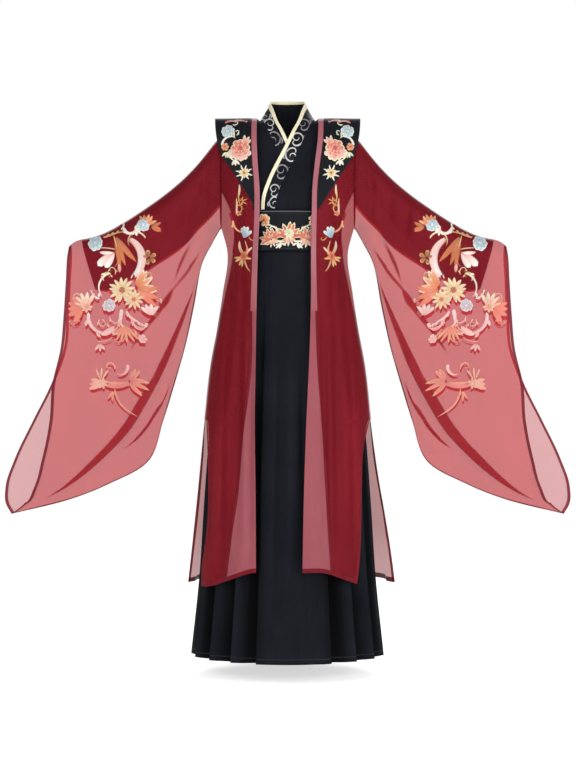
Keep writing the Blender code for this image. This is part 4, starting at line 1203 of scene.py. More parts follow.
pink_chiffon = cloth("pink_chiffon", (0.30, 0.078, 0.094), (0.25, 0.061, 0.075), 0.48,
                     threads=900.0, relief=0.000008, alpha=0.86, gloss=0.10)


def hem(name, grid, edge, width, material=hem_chiffon, steps=4, lift=HEM_LIFT):
    """A narrow folded hem along an edge of a cloth, a little proud of it."""
    return piece(name, mesh_of(name, edging(grid, edge, width, lift, steps)), material)


CHEST_ART = (
    # a tail that comes out from under the wing, with a ring and a small flower on it
    [petal(125.5, -178, 264, 36, 3, "cream", "gold", 0, 24, 0, "leaf"),
     petal(133.5, -212, 262, 44, 2.6, "gold", "pink", 0, 20, 0, "leaf")]
    + scroll(129, -203, 255, 46, 1.4, ("gold", "orange"), 40, -120)
    + scroll(123, -215, 200, 46, 1.6, ("orange", "gold"), 260, 110)
    + fan(118, -222.5, 13, (30, 100, 160, 215, 290), 0.12, ("gold", "orange"), 0, "leaf")
    + scroll(119, -234, 262, 32, 1.4, ("gold", "peach"), 60, 200)
    + blossom(127.5, -252, 8, 5, ("orange", "peach"), "brown", layers=2, wide=0.34)
    + scroll(142.5, -270, 276, 62, 2.6, ("peach", "gold"), -130, 20, 2)
    # a tulip, and a bent stem with an orange flower below it
    + fan(114.5, -320, 29, (84, 99, 114, 129), 0.15, ("mist", "blue"), 1, "petal", "white")
    + scroll(101, -314, 250, 26, 1.4, ("orange", "gold"), -60, -200)
    + scroll(111, -323, 255, 40, 1.1, ("gold", "cream"), 0, 20)
    + [petal(125, -322, 282, 50, 4.2, "cream", "orange", 0, -66, -20, "leaf"),
       petal(110, -360, 128, 26, 3.4, "peach", "cream", 1, 14, 0, "leaf"),
       petal(107, -356, 104, 20, 2.6, "orange", "peach", 1, -20, 0, "leaf")]
    + blossom(114, -364, 13.5, 7, ("orange", "salmon"), "brown", layers=2, wide=0.26,
              shape="leaf")
    + fan(116, -368, 22, (-18, 8, 300, 276, 190), 0.14, ("peach", "gold"), 0, "leaf")
    + scroll(112, -374, 262, 36, 2.2, ("gold", "peach"), -36, 0))
RIDGE_LIGHT = 0.30        # painted highlight and glow on the front's folds where they stand out
rows = finer(ROBE_ROWS, ROBE_STEP)
below = int(np.sum(rows <= SLIT_TOP_Z))
for side in ("left", "right"):
    edge = look(FRONT_EDGE, side, rows)
    band = edge + look(BAND, side, rows)
    slit = look(SLIT_EDGE, side, rows)
    outer = np.where(rows > ARMPIT_Z, ARMHOLE_X, np.where(rows > SLIT_TOP_Z, WHOLE, slit))
    grid = robe_front((edge, band, outer), (8, 56))
    shown = mirrored(grid, side)
    hems = [hem(f"robe_front_{side}_hem", shown, "low", ROBE_HEM),
            hem(f"robe_front_{side}_slit_hem", shown[:below], "last", SLIT_HEM),
            hem(f"robe_front_{side}_armhole_seam", shown[rows > ARMPIT_Z], "last", ARMHOLE_SEAM,
                material=crimson)]
    wedge = look(LINING_SIDE, "across", rows)
    lined_to = np.where(rows > LINING_STARTS, wedge, WHOLE)[:, None]
    # painted shade where the lining is behind the chiffon, and painted highlight and glow on its
    # ridges
    ridge = smooth(folds(grid[..., 0], grid[..., 2], False), 0.000, 0.010)
    painted_shade = (1 - smooth(grid[..., 0], lined_to, lined_to + 0.005)) * (1 - RIDGE_LIGHT * ridge)
    made = piece(f"robe_front_{side}_chiffon", mesh_of("robe_front", shown, painted_shade=painted_shade),
                 chiffon, "robe_front_" + side)
    hems += embroider(f"robe_front_{side}_embroidery", CHEST_ART, shown, False)

    lined = np.minimum(wedge, ARMHOLE_X - 0.002)
    lined = np.where(rows > LINING_STARTS, lined, WHOLE)
    lined = np.where(rows > SLIT_TOP_Z, lined, outer - 0.004)
    lining = mirrored(robe_front((band + 0.001, lined), (48,), -LINING_IN, LINING_LIFT, 0.008),
                      side)
    made = piece(f"robe_front_{side}_lining", mesh_of("robe_lining", lining), crimson,
                 "lining_front_" + side, 0.0006)

# The pink band: satin on the upper part of each front and round the back of the neck. Low down the
# front's own edge is turned back over it, wider and wider, and shows a red hem on its free edge.
BAND_TURNS_AT = -0.500
BAND_STITCH = (0.0028, 0.0014, 0.0003)


def back_band(width, outs):
    """Rows of the pink band round the back of the robe's neck."""
    rows = []
    for q in np.linspace(0.05, 1.0, 26):
        along = (1 - (1 - q) ** 2) ** NECK_ROUND
        share = np.linspace(0, 1, len(outs))
        x = (ROBE_NECK_X + share * width) * (1 - q) + SEAM
        dip = ROBE_NECK_DIP - 0.0004 * (1 - share) + share * width
        out = LAYER + BACK_BAND_OUT * (0.5 + 0.5 * smooth(q, 0, 0.3)) + outs
        rows.append(on_form(ROBE, x, -dip * along, True, out + NECK_EASE, ROBE_LIFT + out))
    return np.array(rows)


BAND_SECTION = np.array([0.0, 0.6, 0.9, 1.0, 0.9, 0.82, 0.8, 0.8, 0.8, 0.82, 0.9, 1.0, 0.9, 0.6,
                         0.0]) * 0.0009 - 0.0004
at = np.concatenate([np.linspace(0, 0.14, 4)[:-1], np.linspace(0.14, 0.86, 9),
                     np.linspace(0.86, 1, 4)[1:]])
for side in ("left", "right"):
    edge = look(FRONT_EDGE, side, rows)
    width = look(BAND, side, rows)
    strip = between(robe_front((edge, edge + width), (14,)), at * 14)
    lying = strip + outward(strip) * (LAYER + BAND_SECTION)[None, :, None]
    behind = back_band(float(look(BAND, side, 0.0)), BAND_SECTION)
    grid = mirrored(np.concatenate([lying, behind]), side)
    split = int(np.sum(rows <= BAND_TURNS_AT))
    satin = piece(f"front_band_{side}_satin", mesh_of("front_band", grid[split - 1:]), pink_satin,
                  "front_band_" + side)
    lower = grid[:split]
    hems = [hem(f"front_band_{side}_free_hem", lower, "last", 0.007),
            hem(f"front_band_{side}_low_hem", lower, "low", ROBE_HEM)]
    turned = piece(f"front_band_{side}_turned_edge", mesh_of("turned_edge", lower), pink_chiffon)
    sewn = [stitches(f"front_band_{side}_stitches_{n}", grid[split:, col],
                     outward(grid)[split:, col], BAND_STITCH, silver_thread)
            for n, col in enumerate((2, 12))]

side_x = np.where(rows > ARMPIT_Z, ARMHOLE_X, WHOLE)
x = columns(ROBE, rows, True, back_edges(side_x, ROBE_NECK_X, NECK_COLUMNS),
            [16] + [3] * 20 + [16])
height = back_rows(x, rows, ROBE_NECK_X, ROBE_NECK_DIP)
ease = NECK_EASE * (1 - smooth(np.abs(x), ROBE_NECK_X, 0.11))
back = on_form(ROBE, x, height, True, folds(x, rows[:, None], True) + ease, ROBE_LIFT)
back[..., 0] += BACK_SPREAD * smooth(-rows[:, None], 0.75, 1.222) * smooth(x, 0.10, 0.26)
for way, edge in ((-1, back[:, :1]), (1, back[:, -1:])):
    gone = np.linalg.norm(back - edge, axis=-1)
    back[..., 0] -= way * SLIT_FLARE * smooth(gone, 0, 0.026) * (1 - smooth(gone, 0.030, 0.100)) \
        * smooth(-rows[:, None], 0.80, 0.92)
hems = [hem("robe_back_hem", back, "low", 0.013, lift=-HEM_LIFT),
        hem("robe_back_slit_hem_right", back[:below], "first", 0.010, lift=-HEM_LIFT),
        hem("robe_back_slit_hem_left", back[:below], "last", 0.010, lift=-HEM_LIFT)]
# beside its slits the back hangs clear of the dress: there it gets a painted glow in place of the
# light that comes through it, and over the dress it gets painted shade
LOOSE_WIDTH = (0.130, 0.180)
LOOSE_BELOW = (0.62, 0.82)
dress_side = look(DRESS, "half_width", rows)[:, None]
from_edge = np.minimum(*[np.linalg.norm(back - back[:, k:k + 1], axis=-1)
                         for k in (0, back.shape[1] - 1)])
loose = (1 - smooth(from_edge, *LOOSE_WIDTH)) * smooth(-rows[:, None], *LOOSE_BELOW)
painted_shade = 1 - loose * smooth(np.abs(back[..., 0]), dress_side - 0.030, dress_side - 0.004)
made = piece("robe_back_chiffon", mesh_of("robe_back", back, painted_shade=painted_shade), back_chiffon,
             "robe_back")

# ---------------------------------------------------------------- the shoulder wings
# Stiff black satin wings, faced and edge-stitched, sewn beside the pink bands. Each runs over the
# shoulder from a point on the chest to a point on the back, and stands out past the armhole.
WING = table("z outer", [
    (0, 191.5), (-30, 189.5), (-62, 185), (-100, 174), (-154, 137), (-200, 109), (-244.6, 80)
])
WING_LIFT = 0.0066
WING_OUT = 0.0028
WING_SPREAD = 0.260
WING_TIP = 0.004
WING_GAP = 0.0018
WING_STITCH = (0.0026, 0.0014, 0.0003)
WING_ROWS = (-0.2446, -0.205, -0.176, -0.150) + BEND_ROWS


def wing_grid(side):
    """A wing: rows from the band outwards on a flatter ellipse, up the front and down the back."""
    z = finer(WING_ROWS, 0.005)
    share = np.linspace(0, 1, 33)[None, :]
    halves = []
    for back in (False, True):
        inner = look(FRONT_EDGE, side, z) + look(BAND, side, z) + WING_GAP
        if back:
            inner = np.full_like(z, ROBE_NECK_X + 0.0138 + WING_GAP)
        outer = np.maximum(look(WING, "outer", z), inner + WING_TIP)
        x = inner[:, None] + (outer - inner)[:, None] * share
        seat = on_form(ROBE, inner[:, None], cloth_height(z)[:, None], back, WING_OUT, WING_LIFT)
        spread = np.sqrt(1 - (x / WING_SPREAD) ** 2)
        y = seat[..., 1] * spread / spread[:, :1]
        grid = np.stack([x, y, np.broadcast_to(seat[..., 2], x.shape)], axis=-1)
        halves.append(grid[::-1][1:] if back else grid)
    return np.concatenate(halves), len(z)


WING_ART = (
    scroll(165, -15, 140, 34, 3, ("rose", "pink"), 66, 20, 2)
    + scroll(143, -11, 158, 40, 3, ("pink", "rose"), 40, 40, 2)
    + scroll(144, -20, 196, 26, 1.8, ("cream", "white"), -70, -240, 1)
    + blossom(156, -39, 19, 9, ("mist", "blue"), "cream", "white", wide=0.34)
    + scroll(139, -54, 96, 30, 2, ("cream", "green"), -140, -60, 1)
    + scroll(133, -50, 146, 24, 1.8, ("green", "white"), -80, -240, 2)
    + scroll(171.5, -76, 96, 52, 3, ("white", "cream"), 96, 50)
    + blossom(122.5, -85, 25, 8, ("rose", "salmon"), "rose", "cream", wide=0.36)
    + fan(122.5, -86, 29, (-16, -42, -68, -94, -120, -146), 0.26, ("salmon", "pink"), 0,
          "petal", "cream")
    + fan(113, -77, 24, (92, 116, 140), 0.18, ("salmon", "pink"), 0.5, "leaf", "cream")
    + blossom(163, -80, 11, 6, ("orange", "peach"), "brown", layers=2, wide=0.42)
    + fan(158, -93, 16, (196, 226, 256, 286, 316), 0.20, ("cream", "green"), 0, "leaf")
    + scroll(152, -101, 250, 30, 2, ("cream", "white"), -40, -90, 2)
    + fan(137, -114, 16, (226, 262, 298), 0.20, ("white", "cream"), 0, "leaf")
    + blossom(112.5, -150, 15, 11, ("gold", "cream"), "brown", layers=2, wide=0.20,
              shape="leaf")
    + fan(112.5, -150, 20.5, np.arange(15, 375, 45), 0.10, ("cream", "white"), 0, "leaf"))
for side in ("left", "right"):
    grid, front_rows = wing_grid(side)
    shown = mirrored(grid, side)
    out = outward(shown)
    made = piece(f"shoulder_wing_{side}_satin", mesh_of("wing", shown), black_satin,
                 "shoulder_wing_" + side, CREPE)
    sewn = [stitches(f"shoulder_wing_{side}_stitches", shown[2:-2, -2], out[2:-2, -2],
                     WING_STITCH, black_thread)]
    for back, part in ((False, shown[:front_rows]), (True, shown[front_rows:])):
        sewn += embroider(f"shoulder_wing_{side}_{'back' if back else 'front'}_embroidery",
                          WING_ART, part, back)

# ---------------------------------------------------------------- the sleeves
# Very wide sleeves of the same chiffon, cut in one with the arm's line and sewn along the bottom.
# They hang in long overlapping folds. A narrow opaque sleeve hangs inside the upper part of each.
SLEEVE = table("ring top_out top_z low_out low_z arm_depth low_depth arm_place lining", [
    (0, 177.6, -46, 177.6, -285, 58, 40, 0.30, 0.74),
    (1, 215, -89, 200, -325, 58, 36, 0.26, 0.70),
    (2, 270, -148, 228.5, -385, 55, 30, 0.22, 0.62),
    (3, 325, -195, 248, -490, 52, 26, 0.17, 0.49),
    (4, 390, -241, 272, -600, 50, 24, 0.13, 0.38),
    (5, 445, -276, 305, -715, 48, 22, 0.10, 0.31),
    (6, 490, -299, 330, -795, 46, 22, 0.09, 0.26),
    (7, 525, -310, 368, -900, 45, 24, 0.08, 0.235),
    (8, 550, -315, 470, -960, 44, 28, 0.07, 0.20),
    (9, 567, -322, 585, -1005, 44, 32, 0.07, 0.20),
    (10, 579.5, -333, 732, -1041, 44, 36, 0.07, 0.20),
], "ring arm_place lining")
CUFF = table("down front back", [
    (0.00, 0, 0), (0.11, 12, 12), (0.26, 29, 29), (0.38, 40, 40), (0.52, 39, 26), (0.65, 52, 0),
    (0.80, 53, -27), (0.90, 47, -34), (0.97, 24, -19), (1.00, 0, 0)
], "down")
SLEEVE_GROOVES = [
    # first ring, last ring, place down the ring at its start, middle and end, width, depth
    (1.2, 9.8, 0.88, 0.80, 0.95, 0.050, 0.011),
    (0.8, 6.5, 0.76, 0.60, 0.52, 0.040, 0.008),
    (3.0, 8.6, 0.96, 0.92, 0.97, 0.030, 0.006),
]
LINING_UNDER = 0.0036
ARMHOLE_IN = 0.0020
# how much painted shade the folded chiffon gets where it lies in three layers
FOLD_DARK = 0.62
CUFF_HEM = 0.0085
LOW_SEAM = 0.0040
SEAM_DARK = 0.0045        # how far from the low seam the chiffon gets painted shade and no painted glow
FREE_FROM = (0.15, 1.2)   # rings over which the folds start beside the armhole
ARMHOLE_OUT = 0.0006
SLEEVE_THIN = 0.58
SQUARE = 0.0022
LINING_NARROW = 0.80
LINING_LAST_RING = 7.8
OVERLAPS = [  # mm: path of out and z, width, strength as a plain number, lift
    ([(232, -395), (262, -480), (300, -575), (336, -655), (380, -735), (428.5, -813.6),
      (488, -880), (550, -938), (611.4, -983.2), (690, -1022)], 20, 3.1, 3.4),
    ([(290, -640), (330, -742), (396, -840), (470, -900)], 12, 2.7, 2.2),
    ([(214, -318), (262, -392), (335.8, -497.1), (390, -566), (439.9, -643.2)], 12, 2.5, 2.0),
    ([(246, -300), (290, -390), (332, -492)], 10, 2.2, 1.4),
]
SLEEVE_CREASES = [  # mm: from out z, to out z, bow, width, depth; at the elbow and below it
    (322, -200, 300, -330, 6, 7, -4.2),
    (330, -212, 336, -330, -4, 8, 4),
    (345, -225, 362, -300, 3, 7, -3.4),
    (210, -110, 216, -270, 8, 11, -4.2),
    (240, -135, 238, -280, -8, 12, 4),
    (265, -160, 262, -300, 6, 10, -3.6),
    (196, -90, 194, -240, 4, 8, 3),
    (440, -300, 425, -400, 4, 10, 3),
    (480, -312, 500, -420, -4, 10, -3),
    (520, -330, 548, -520, 8, 10, -3.4),
    (535, -400, 600, -760, -10, 16, 4),
    (470, -560, 560, -900, 12, 22, 5),
    (400, -560, 500, -860, 16, 22, -5),
    (340, -560, 420, -760, 12, 16, 4),
    (560, -700, 640, -960, -6, 14, -4),
    (590, -860, 690, -1000, -4, 10, 3.6),
    (250, -420, 330, -720, 12, 10, 3.6),
]


def groove_depth(ring_at, down):
    """The wide troughs along a sleeve: each is a soft groove that follows its own line."""
    depth = np.zeros(np.broadcast(ring_at, down).shape)
    for first, last, start, middle, end, width, deep in SLEEVE_GROOVES:
        along = np.clip((ring_at - first) / (last - first), 0, 1)
        place = start * (1 - along) ** 2 + 2 * (2 * middle - (start + end) / 2) * along \
            * (1 - along) + end * along ** 2
        fade = np.sin(math.pi * along) ** 0.7
        depth = depth + deep * fade * np.exp(-((down - place) / width) ** 2)
    return depth


def sleeve_depth(ring_at, down):
    """Half-depth of a sleeve: full at the arm, thin below it, closed at both folds."""
    arm, low = look(SLEEVE, "arm_depth", ring_at), look(SLEEVE, "low_depth", ring_at)
    place = look(SLEEVE, "arm_place", ring_at)
    body = low * np.sqrt(np.clip(1 - (2 * down - 1) ** 2, 0, 1))
    bulge = (arm - 0.4 * low) * (down / place) * np.exp(1 - down / place) * (1 - down) ** 0.5
    rounded = np.minimum(1, down / (0.5 * place))
    return np.maximum(body, bulge * rounded ** 0.2)


def armhole_depth(z, back):
    """Half-depth of the robe's armhole at a height."""
    half_width, depth = widths(ROBE, z, back)
    reach_low = depth * np.sqrt(np.clip(1 - (ARMHOLE_X / half_width) ** 2, 0, 1))
    top = shoulder_line(ARMHOLE_X) + ROBE_LIFT
    share = np.clip((z - SHOULDER_BEND) / (top - SHOULDER_BEND), 0, 1)
    reach = (1 - share ** (2 / BEND_FULLNESS)) ** (BEND_FULLNESS / 2)
    return reach_low * np.where(z > SHOULDER_BEND, reach, 1)


def sleeve_points(ring_at, down, back):
    """Points on one face of the left sleeve, from the armhole to the bowed cuff."""
    top = np.stack([look(SLEEVE, "top_out", ring_at), look(SLEEVE, "top_z", ring_at)])
    low = np.stack([look(SLEEVE, "low_out", ring_at), look(SLEEVE, "low_z", ring_at)])
    out, z = top + (low - top) * down
    bow = look(CUFF, "back" if back else "front", down)
    out = out - bow * smooth(ring_at, 3.0, 10.0) ** 1.3
    joined = 1 - smooth(ring_at, 0, 1.6)
    y = joined * armhole_depth(z, back) + (1 - joined) * sleeve_depth(ring_at, down)
    y = y - (0.6 * groove_depth(ring_at, down) if back else groove_depth(ring_at, down)) \
        * smooth(ring_at, 0.5, 2.0) * np.clip(y / 0.012, 0, 1)
    y = np.maximum(y, 0.0)
    return np.stack([out, y if back else -y, z], axis=-1)


def overlapped(flat, paths, amount):
    """Cloth folded over on itself along curves. A point at distance d across a curve moves to
    d (1 - K e exp(-(d/w)^2)), where e fades at the curve's ends, so that three layers lie over
    each other, and it is lifted by H s exp(-s^2), with s = d/w, so that they lie a little apart.
    Gives each point's shift in the plane and its lift."""
    shift, lift = np.zeros_like(flat), np.zeros(flat.shape[:-1])
    for path, width, strength, high in paths:
        path, width, high = np.array(path) / 1000, width / 1000, high / 1000
        knots = {"at": np.linspace(0, 1, len(path)), "out": path[:, 0], "z": path[:, 1]}
        fine = np.linspace(0, 1, 160)
        curve = np.stack([look(knots, "out", fine), look(knots, "z", fine)], axis=-1)
        ahead = np.gradient(curve, axis=0)
        ahead /= np.linalg.norm(ahead, axis=1, keepdims=True)
        across = np.stack([-ahead[:, 1], ahead[:, 0]], axis=-1)
        gap = flat.reshape(-1, 1, 2) - curve[None]
        near = np.argmin(np.sum(gap**2, axis=-1), axis=1)
        gap = gap[np.arange(len(near)), near]
        aside = np.sum(gap * across[near], axis=1)
        past = np.sum(gap * ahead[near], axis=1)
        fade = np.sin(math.pi * near / 159) ** 0.60 * np.exp(-(past / width) ** 2) \
            * amount.ravel()
        s = aside / width
        bell = fade * np.exp(-s**2)
        shift += ((-strength * bell * aside)[:, None] * across[near]).reshape(flat.shape)
        lift += (2 * high * s * bell).reshape(lift.shape)
    return shift, lift


def crowded(plane):
    """0 where a folded cloth, seen flat, lies in one layer, and 1 where it lies in three: the
    areas of its cells are added up on small squares of the plane."""
    at = np.stack(np.meshgrid(np.linspace(0, plane.shape[0] - 1.001, plane.shape[0] * 4),
                              np.linspace(0, plane.shape[1] - 1.001, plane.shape[1] * 4),
                              indexing="ij"), axis=-1)
    fine = sampled(plane, at)[0]
    down, along = fine[1:, :-1] - fine[:-1, :-1], fine[:-1, 1:] - fine[:-1, :-1]
    area = np.abs(down[..., 0] * along[..., 1] - down[..., 1] * along[..., 0])
    low = plane.min(axis=(0, 1)) - 3 * SQUARE
    count = np.ceil((plane.max(axis=(0, 1)) + 3 * SQUARE - low) / SQUARE).astype(int)
    cell = ((fine[:-1, :-1] - low) / SQUARE).astype(int).reshape(-1, 2)
    layers = np.bincount(cell[:, 0] * count[1] + cell[:, 1], area.ravel(), count[0] * count[1])
    layers = layers.reshape(count) / SQUARE**2
    for axis in (0, 1):
        layers = (np.roll(layers, 1, axis) + 2 * layers + np.roll(layers, -1, axis)) / 4
    cell = ((plane - low) / SQUARE).astype(int)
    return smooth(layers[cell[..., 0], cell[..., 1]], 1.25, 2.6)


def tube(faces):
    """The front and the back of a sleeve as one closed surface, and the line inside it."""
    grid = np.concatenate([faces[0], faces[1][:, -2:0:-1]], axis=1)
    return grid, np.broadcast_to(grid.mean(axis=1, keepdims=True), grid.shape)


RINGS = 176
DOWNS = 190
ring_at = np.linspace(0, 10, RINGS)[:, None]
down = ((1 - np.cos(np.linspace(0, math.pi, DOWNS))) / 2 * 0.5
        + np.linspace(0, 1, DOWNS) * 0.5)[None, :]
SLEEVE_ART = (
    # the upper spray on the lined part: two round flowers, curls, long leaves and a feather
    fan(374, -280, 28, (60, 84, 106, 130, 152), 0.17, ("orange", "peach"), 0, "leaf")
    + fan(362, -283, 27, (166, 188, 212), 0.17, ("brown", "orange"), 0.5, "leaf")
    + blossom(380, -278, 18.5, 8, ("mist", "blue"), "white", "white", wide=0.36)
    + blossom(507, -326, 21.5, 9, ("mist", "blue"), "white", "white", wide=0.36)
    + scroll(488, -310, 170, 64, 2.8, ("peach", "gold"), -34, 70, 4)
    + scroll(440, -290, 140, 40, 2.6, ("cream", "white"), -110, -170, 2)
    + scroll(432, -285, 262, 50, 4.4, ("white", "pink"), -150, -40, 2)
    + fan(401, -293, 13, (100, 150, 200, 250, 300), 0.26, ("cream", "white"), 1, "leaf")
    + fan(456, -302, 80, (233, 241, 249, 257), 0.080, ("brown", "orange"), 0, "leaf")
    + [petal(452, -316, 247, 62, 8, "orange", "brown", 0.4, 10, 0, "leaf")]
    + scroll(458, -306, 256, 88, 1.6, ("gold", "peach"), -16, 90, 0, 2)
    + [petal(444 + 54 * math.cos(math.radians(120 + 11 * k)),
             -366 + 54 * math.sin(math.radians(120 + 11 * k)), 172 + 11 * k, 12, 1.7,
             "pink", "white", 0.5, 20, 0, "leaf") for k in range(11)]
    + [petal(415 + 3 * k, -312 - 3 * k, 208, 124 - 12 * k, 7.8, "pink", ("pink", "white")[k],
             1 + k, 112, 0, "leaf") for k in range(2)]
    + scroll(420, -319, 212, 104, 1.2, ("salmon", "pink"), 106, 0, 0, 4)
    + scroll(374.4, -313.5, 70, 78, 2.2, ("cream", "gold"), -190)
    + fan(366, -364, 18, (20, 84, 150, 215, 284), 0.30, ("brown", "brown"), 1, "petal",
          "gold")
    + [petal(456, -349, 327, 58, 10, "salmon", "white", 1, -14, 0, "petal"),
       petal(456, -352, 296, 46, 8.5, "pink", "white", 1.5, 16, 0, "petal"),
       petal(460, -351, 350, 36, 5, "white", "pink", 2, 24, 0, "leaf"),
       petal(445, -379, 262, 24, 4.8, "pink", "salmon", 1, 10, 0, "leaf"),
       petal(403, -414, 131, 38, 5.2, "pink", "white", 0.5, -12, 0, "leaf")]
    + scroll(452, -343, 14, 52, 1.4, ("gold", "cream"), -20)
    # the big cluster below it: two mops of narrow petals, lilies, and curls that hang down
    + scroll(467.1, -404.3, 350, 82, 2.8, ("cream", "white"), -124, 0, 2)
    + scroll(496, -472, 16, 36, 2.4, ("white", "cream"), 40, 70, 3)
    + blossom(437, -449, 37, 13, ("gold", "cream"), "brown", layers=4, wide=0.15,
              shape="leaf")
    + blossom(406, -474, 28, 11, ("gold", "cream"), "orange", layers=3, wide=0.17,
              shape="leaf")
    + fan(402, -444, 52, (110, 132, 154, 176, 198, 220), 0.15, ("orange", "peach"), 0,
          "leaf", "cream")
    + fan(390, -456, 46, (168, 194, 220), 0.17, ("salmon", "orange"), 0.3, "leaf")
    + fan(538, -496, 40, (-52, -28, -4, 20, 44), 0.20, ("orange", "salmon"), 0, "leaf")
    + fan(530, -492, 34, (16, 42, 68, 94, 120), 0.16, ("peach", "white"), 0.6, "leaf",
          "cream")
    + blossom(530, -493, 17, 8, ("salmon", "cream"), "gold", layers=2, wide=0.26,
              shape="leaf")
    + blossom(471, -490, 18.5, 8, ("mist", "blue"), "white", "white", wide=0.36)
    + scroll(524, -508, 284, 118, 4.6, ("white", "pink"), -152, 0, 3)
    + [petal(493, -567, 170, 44, 8, "white", "pink", 1, -46, 0, "leaf")]
    + scroll(502, -584, 192, 46, 1.6, ("gold", "peach"), -54, 0)
    + fan(495, -590, 19, (236, 268, 302), 0.20, ("pink", "white"), 0.5, "leaf")
    + scroll(439, -500, 264, 54, 5, ("white", "pink"), 70, -190, 3)
    + scroll(426, -504, 252, 52, 3.6, ("pink", "white"), -90, 60, 3)
    + scroll(412, -521, 272, 58, 3, ("pink", "peach"), -110, -120, 2)
    + fan(364, -514, 28, (48, 74, 100, 126, 152), 0.18, ("pink", "white"), 0.5, "leaf")
    + blossom(376, -538, 9.5, 6, ("pink", "white"), "cream", layers=2, wide=0.34)
    + blossom(380, -580, 11.5, 6, ("pink", "white"), "cream", layers=2, wide=0.34)
    + scroll(383, -545, 262, 30, 1.6, ("peach", "gold"), 22, 0, 2)
    + fan(430, -540, 42, (230, 245, 261, 281, 299, 316), 0.09, ("orange", "gold"), 0,
          "leaf")
    + scroll(425.5, -547, 262, 66, 1.8, ("orange", "gold"), 60, 120)
    + scroll(408, -550, 238, 50, 1.6, ("salmon", "peach"), 40, -130, 2)
    + [part for x, z, heading, long, bend, silks in (
        (485, -425, 60, 50, 150, ("cream", "gold")),
        (456, -408, 120, 40, -150, ("gold", "cream")),
        (370, -424, 40, 50, 190, ("peach", "gold")),
        (360, -464, 300, 60, -170, ("pink", "peach")),
        (496, -526, 300, 50, -200, ("cream", "pink")),
        (470, -518, 262, 52, -120, ("pink", "white")),
        (448, -530, 250, 60, 150, ("gold", "cream")),
        (404, -530, 300, 48, -170, ("white", "pink")),
        (550, -520, 262, 44, 120, ("orange", "gold")),
        (544, -470, 80, 40, -150, ("peach", "cream")))
       for part in scroll(x, z, heading, long, 1.3, silks, bend, bend, 2, 1)]
    # the small spray by itself: a ring and a crescent over a bent leaf, with a hanging tail
    + scroll(456, -658, 100, 54, 2, ("peach", "gold"), -190, -200)
    + scroll(422, -646, 260, 46, 4.4, ("white", "peach"), 100, 40)
    + fan(420, -690, 36, (116, 142, 168, 196, 226), 0.15, ("brown", "salmon"), 0, "leaf",
          "gold")
    + [petal(482, -701, 186, 68, 7.2, "salmon", "brown", 0.3, -20, 0, "leaf"),
       petal(478, -691, 196, 58, 4.2, "peach", "orange", 0.6, -30, 0, "leaf")]
    + fan(488, -696, 32, (30, 4, -24), 0.20, ("cream", "peach"), 0.8, "leaf")
    + fan(492, -690, 34, (70, 94, 118), 0.08, ("gold", "cream"), 0, "leaf")
    + blossom(488, -696, 15, 7, ("peach", "cream"), "white", layers=2, wide=0.28,
              shape="leaf")
    + scroll(456, -708, 268, 88, 2.2, ("gold", "peach"), -68, 0)
    + fan(460, -714, 26, (238, 276, 302), 0.13, ("gold", "orange"), 0.4, "leaf"))
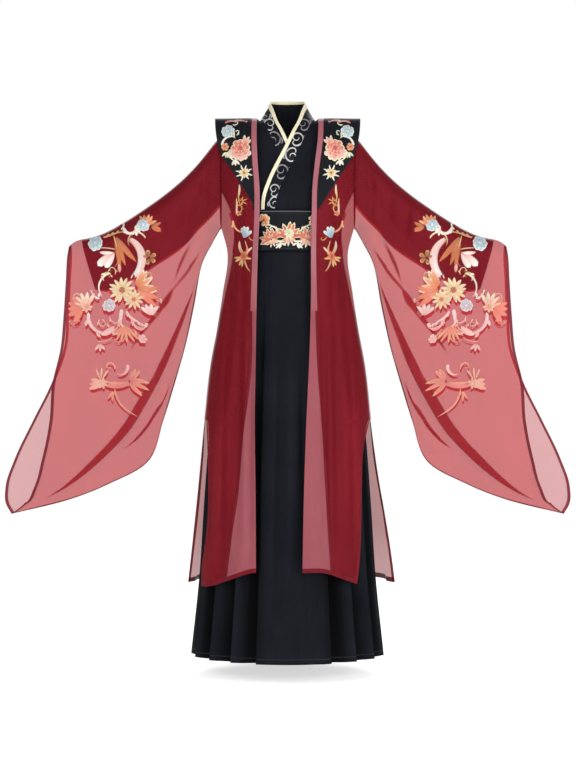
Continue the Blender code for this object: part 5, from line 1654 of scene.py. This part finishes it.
for side in ("left", "right"):
    uneven = 1.0 if side == "left" else 0.88
    faces, planes, layered_shade = [], [], []
    for back, way in ((False, -1), (True, 1)):
        points = sleeve_points(ring_at, down, back)
        flat = points[..., [0, 2]].copy()
        planes.append(flat)
        deep = np.abs(points[..., 1])
        room = np.clip(deep / 0.010, 0, 1) * smooth(ring_at, *FREE_FROM)
        shift, lift = overlapped(flat, OVERLAPS, room * uneven)
        swell = creases(flat[..., 0], flat[..., 1], SLEEVE_CREASES) * uneven
        amount = (0.8 if back else 1.0) * room
        points[..., [0, 2]] += shift
        # the sewn edges are thicker: there, and where the folds lie in three layers, the chiffon
        # gets painted shade and no painted glow
        edge = np.minimum(np.linalg.norm(points - points[-1:], axis=-1) / CUFF_HEM,
                          np.linalg.norm(points - points[:, -1:], axis=-1) / SEAM_DARK)
        layered_shade.append(np.maximum(FOLD_DARK * crowded(points[..., [0, 2]]),
                                 1 - smooth(edge, 0.9, 1.15)))
        at_armhole = 1 - smooth(ring_at, 0, 0.12)
        points[..., 1] += way * (lift + swell) * amount
        points[..., 0] -= ARMHOLE_IN * at_armhole
        points[..., 1] += way * ARMHOLE_OUT * at_armhole
        faces.append(points)
    shown = [mirrored(face, side) for face in faces]
    hems = []
    for face, place in zip(shown, ("front", "back")):
        for label, edge, width, material in (("cuff_hem", "top", CUFF_HEM, hem_chiffon),
                                             ("seam", "last", LOW_SEAM, hem_chiffon),
                                             ("armhole_seam", "low", ARMHOLE_SEAM, crimson)):
            strip = edging(face, edge, width, 0.0, 4)
            strip[..., 1] += HEM_LIFT if place == "back" else -HEM_LIFT
            core = np.broadcast_to(strip.mean(axis=(0, 1)) * [1, 0, 1], strip.shape)
            hems.append(piece(f"sleeve_{side}_{place}_{label}",
                              mesh_of("sleeve_hem", strip, core=core), material))
    for face, flat, back in zip(shown, planes, (False, True)):
        art = [(p[0] + 5 * back, p[1] - 8 * back, *p[2:]) for p in SLEEVE_ART]
        hems += embroider(f"sleeve_{side}_{'back' if back else 'front'}_embroidery", art,
                          face, back, flat, SLEEVE_THIN)
    # painted shade where the inner sleeve hangs behind the chiffon, with that of the folds and
    # edges
    lined_to = look(SLEEVE, "lining", ring_at) - 0.004
    painted_shade = (1 - smooth(down, lined_to - 0.002, lined_to + 0.010)) \
        * (1 - smooth(ring_at, LINING_LAST_RING - 0.06, LINING_LAST_RING + 0.12))
    painted_shade = tube([np.maximum(painted_shade, dark) for dark in layered_shade])[0]
    grid, core = tube(shown)
    made = piece(f"sleeve_{side}_chiffon", mesh_of("sleeve", grid, True, core, painted_shade), chiffon,
                 "sleeve_" + side)

    inner_rings = np.linspace(0, LINING_LAST_RING, 110)[:, None]
    share = ((1 - np.cos(np.linspace(0, math.pi, 60))) / 2)[None, :]
    lined = share * look(SLEEVE, "lining", inner_rings)
    closing = LINING_NARROW * np.sqrt(np.clip(1 - share ** 3, 0, 1))
    inner = []
    for back, way in ((False, -1), (True, 1)):
        points = sleeve_points(inner_rings, lined, back)
        deep = points[..., 1] * closing
        swell = creases(points[..., 0], points[..., 2], SLEEVE_CREASES) * uneven
        room = np.clip(np.abs(deep) / 0.012, 0, 1) * smooth(inner_rings, *FREE_FROM)
        points[..., 1] = deep + way * swell * room
        points[..., 2] -= LINING_UNDER
        inner.append(mirrored(points, side))
    grid, core = tube(inner)
    made = piece(f"sleeve_{side}_inner", mesh_of("inner_sleeve", grid, True, core), crimson,
                 "sleeve_lining_" + side)
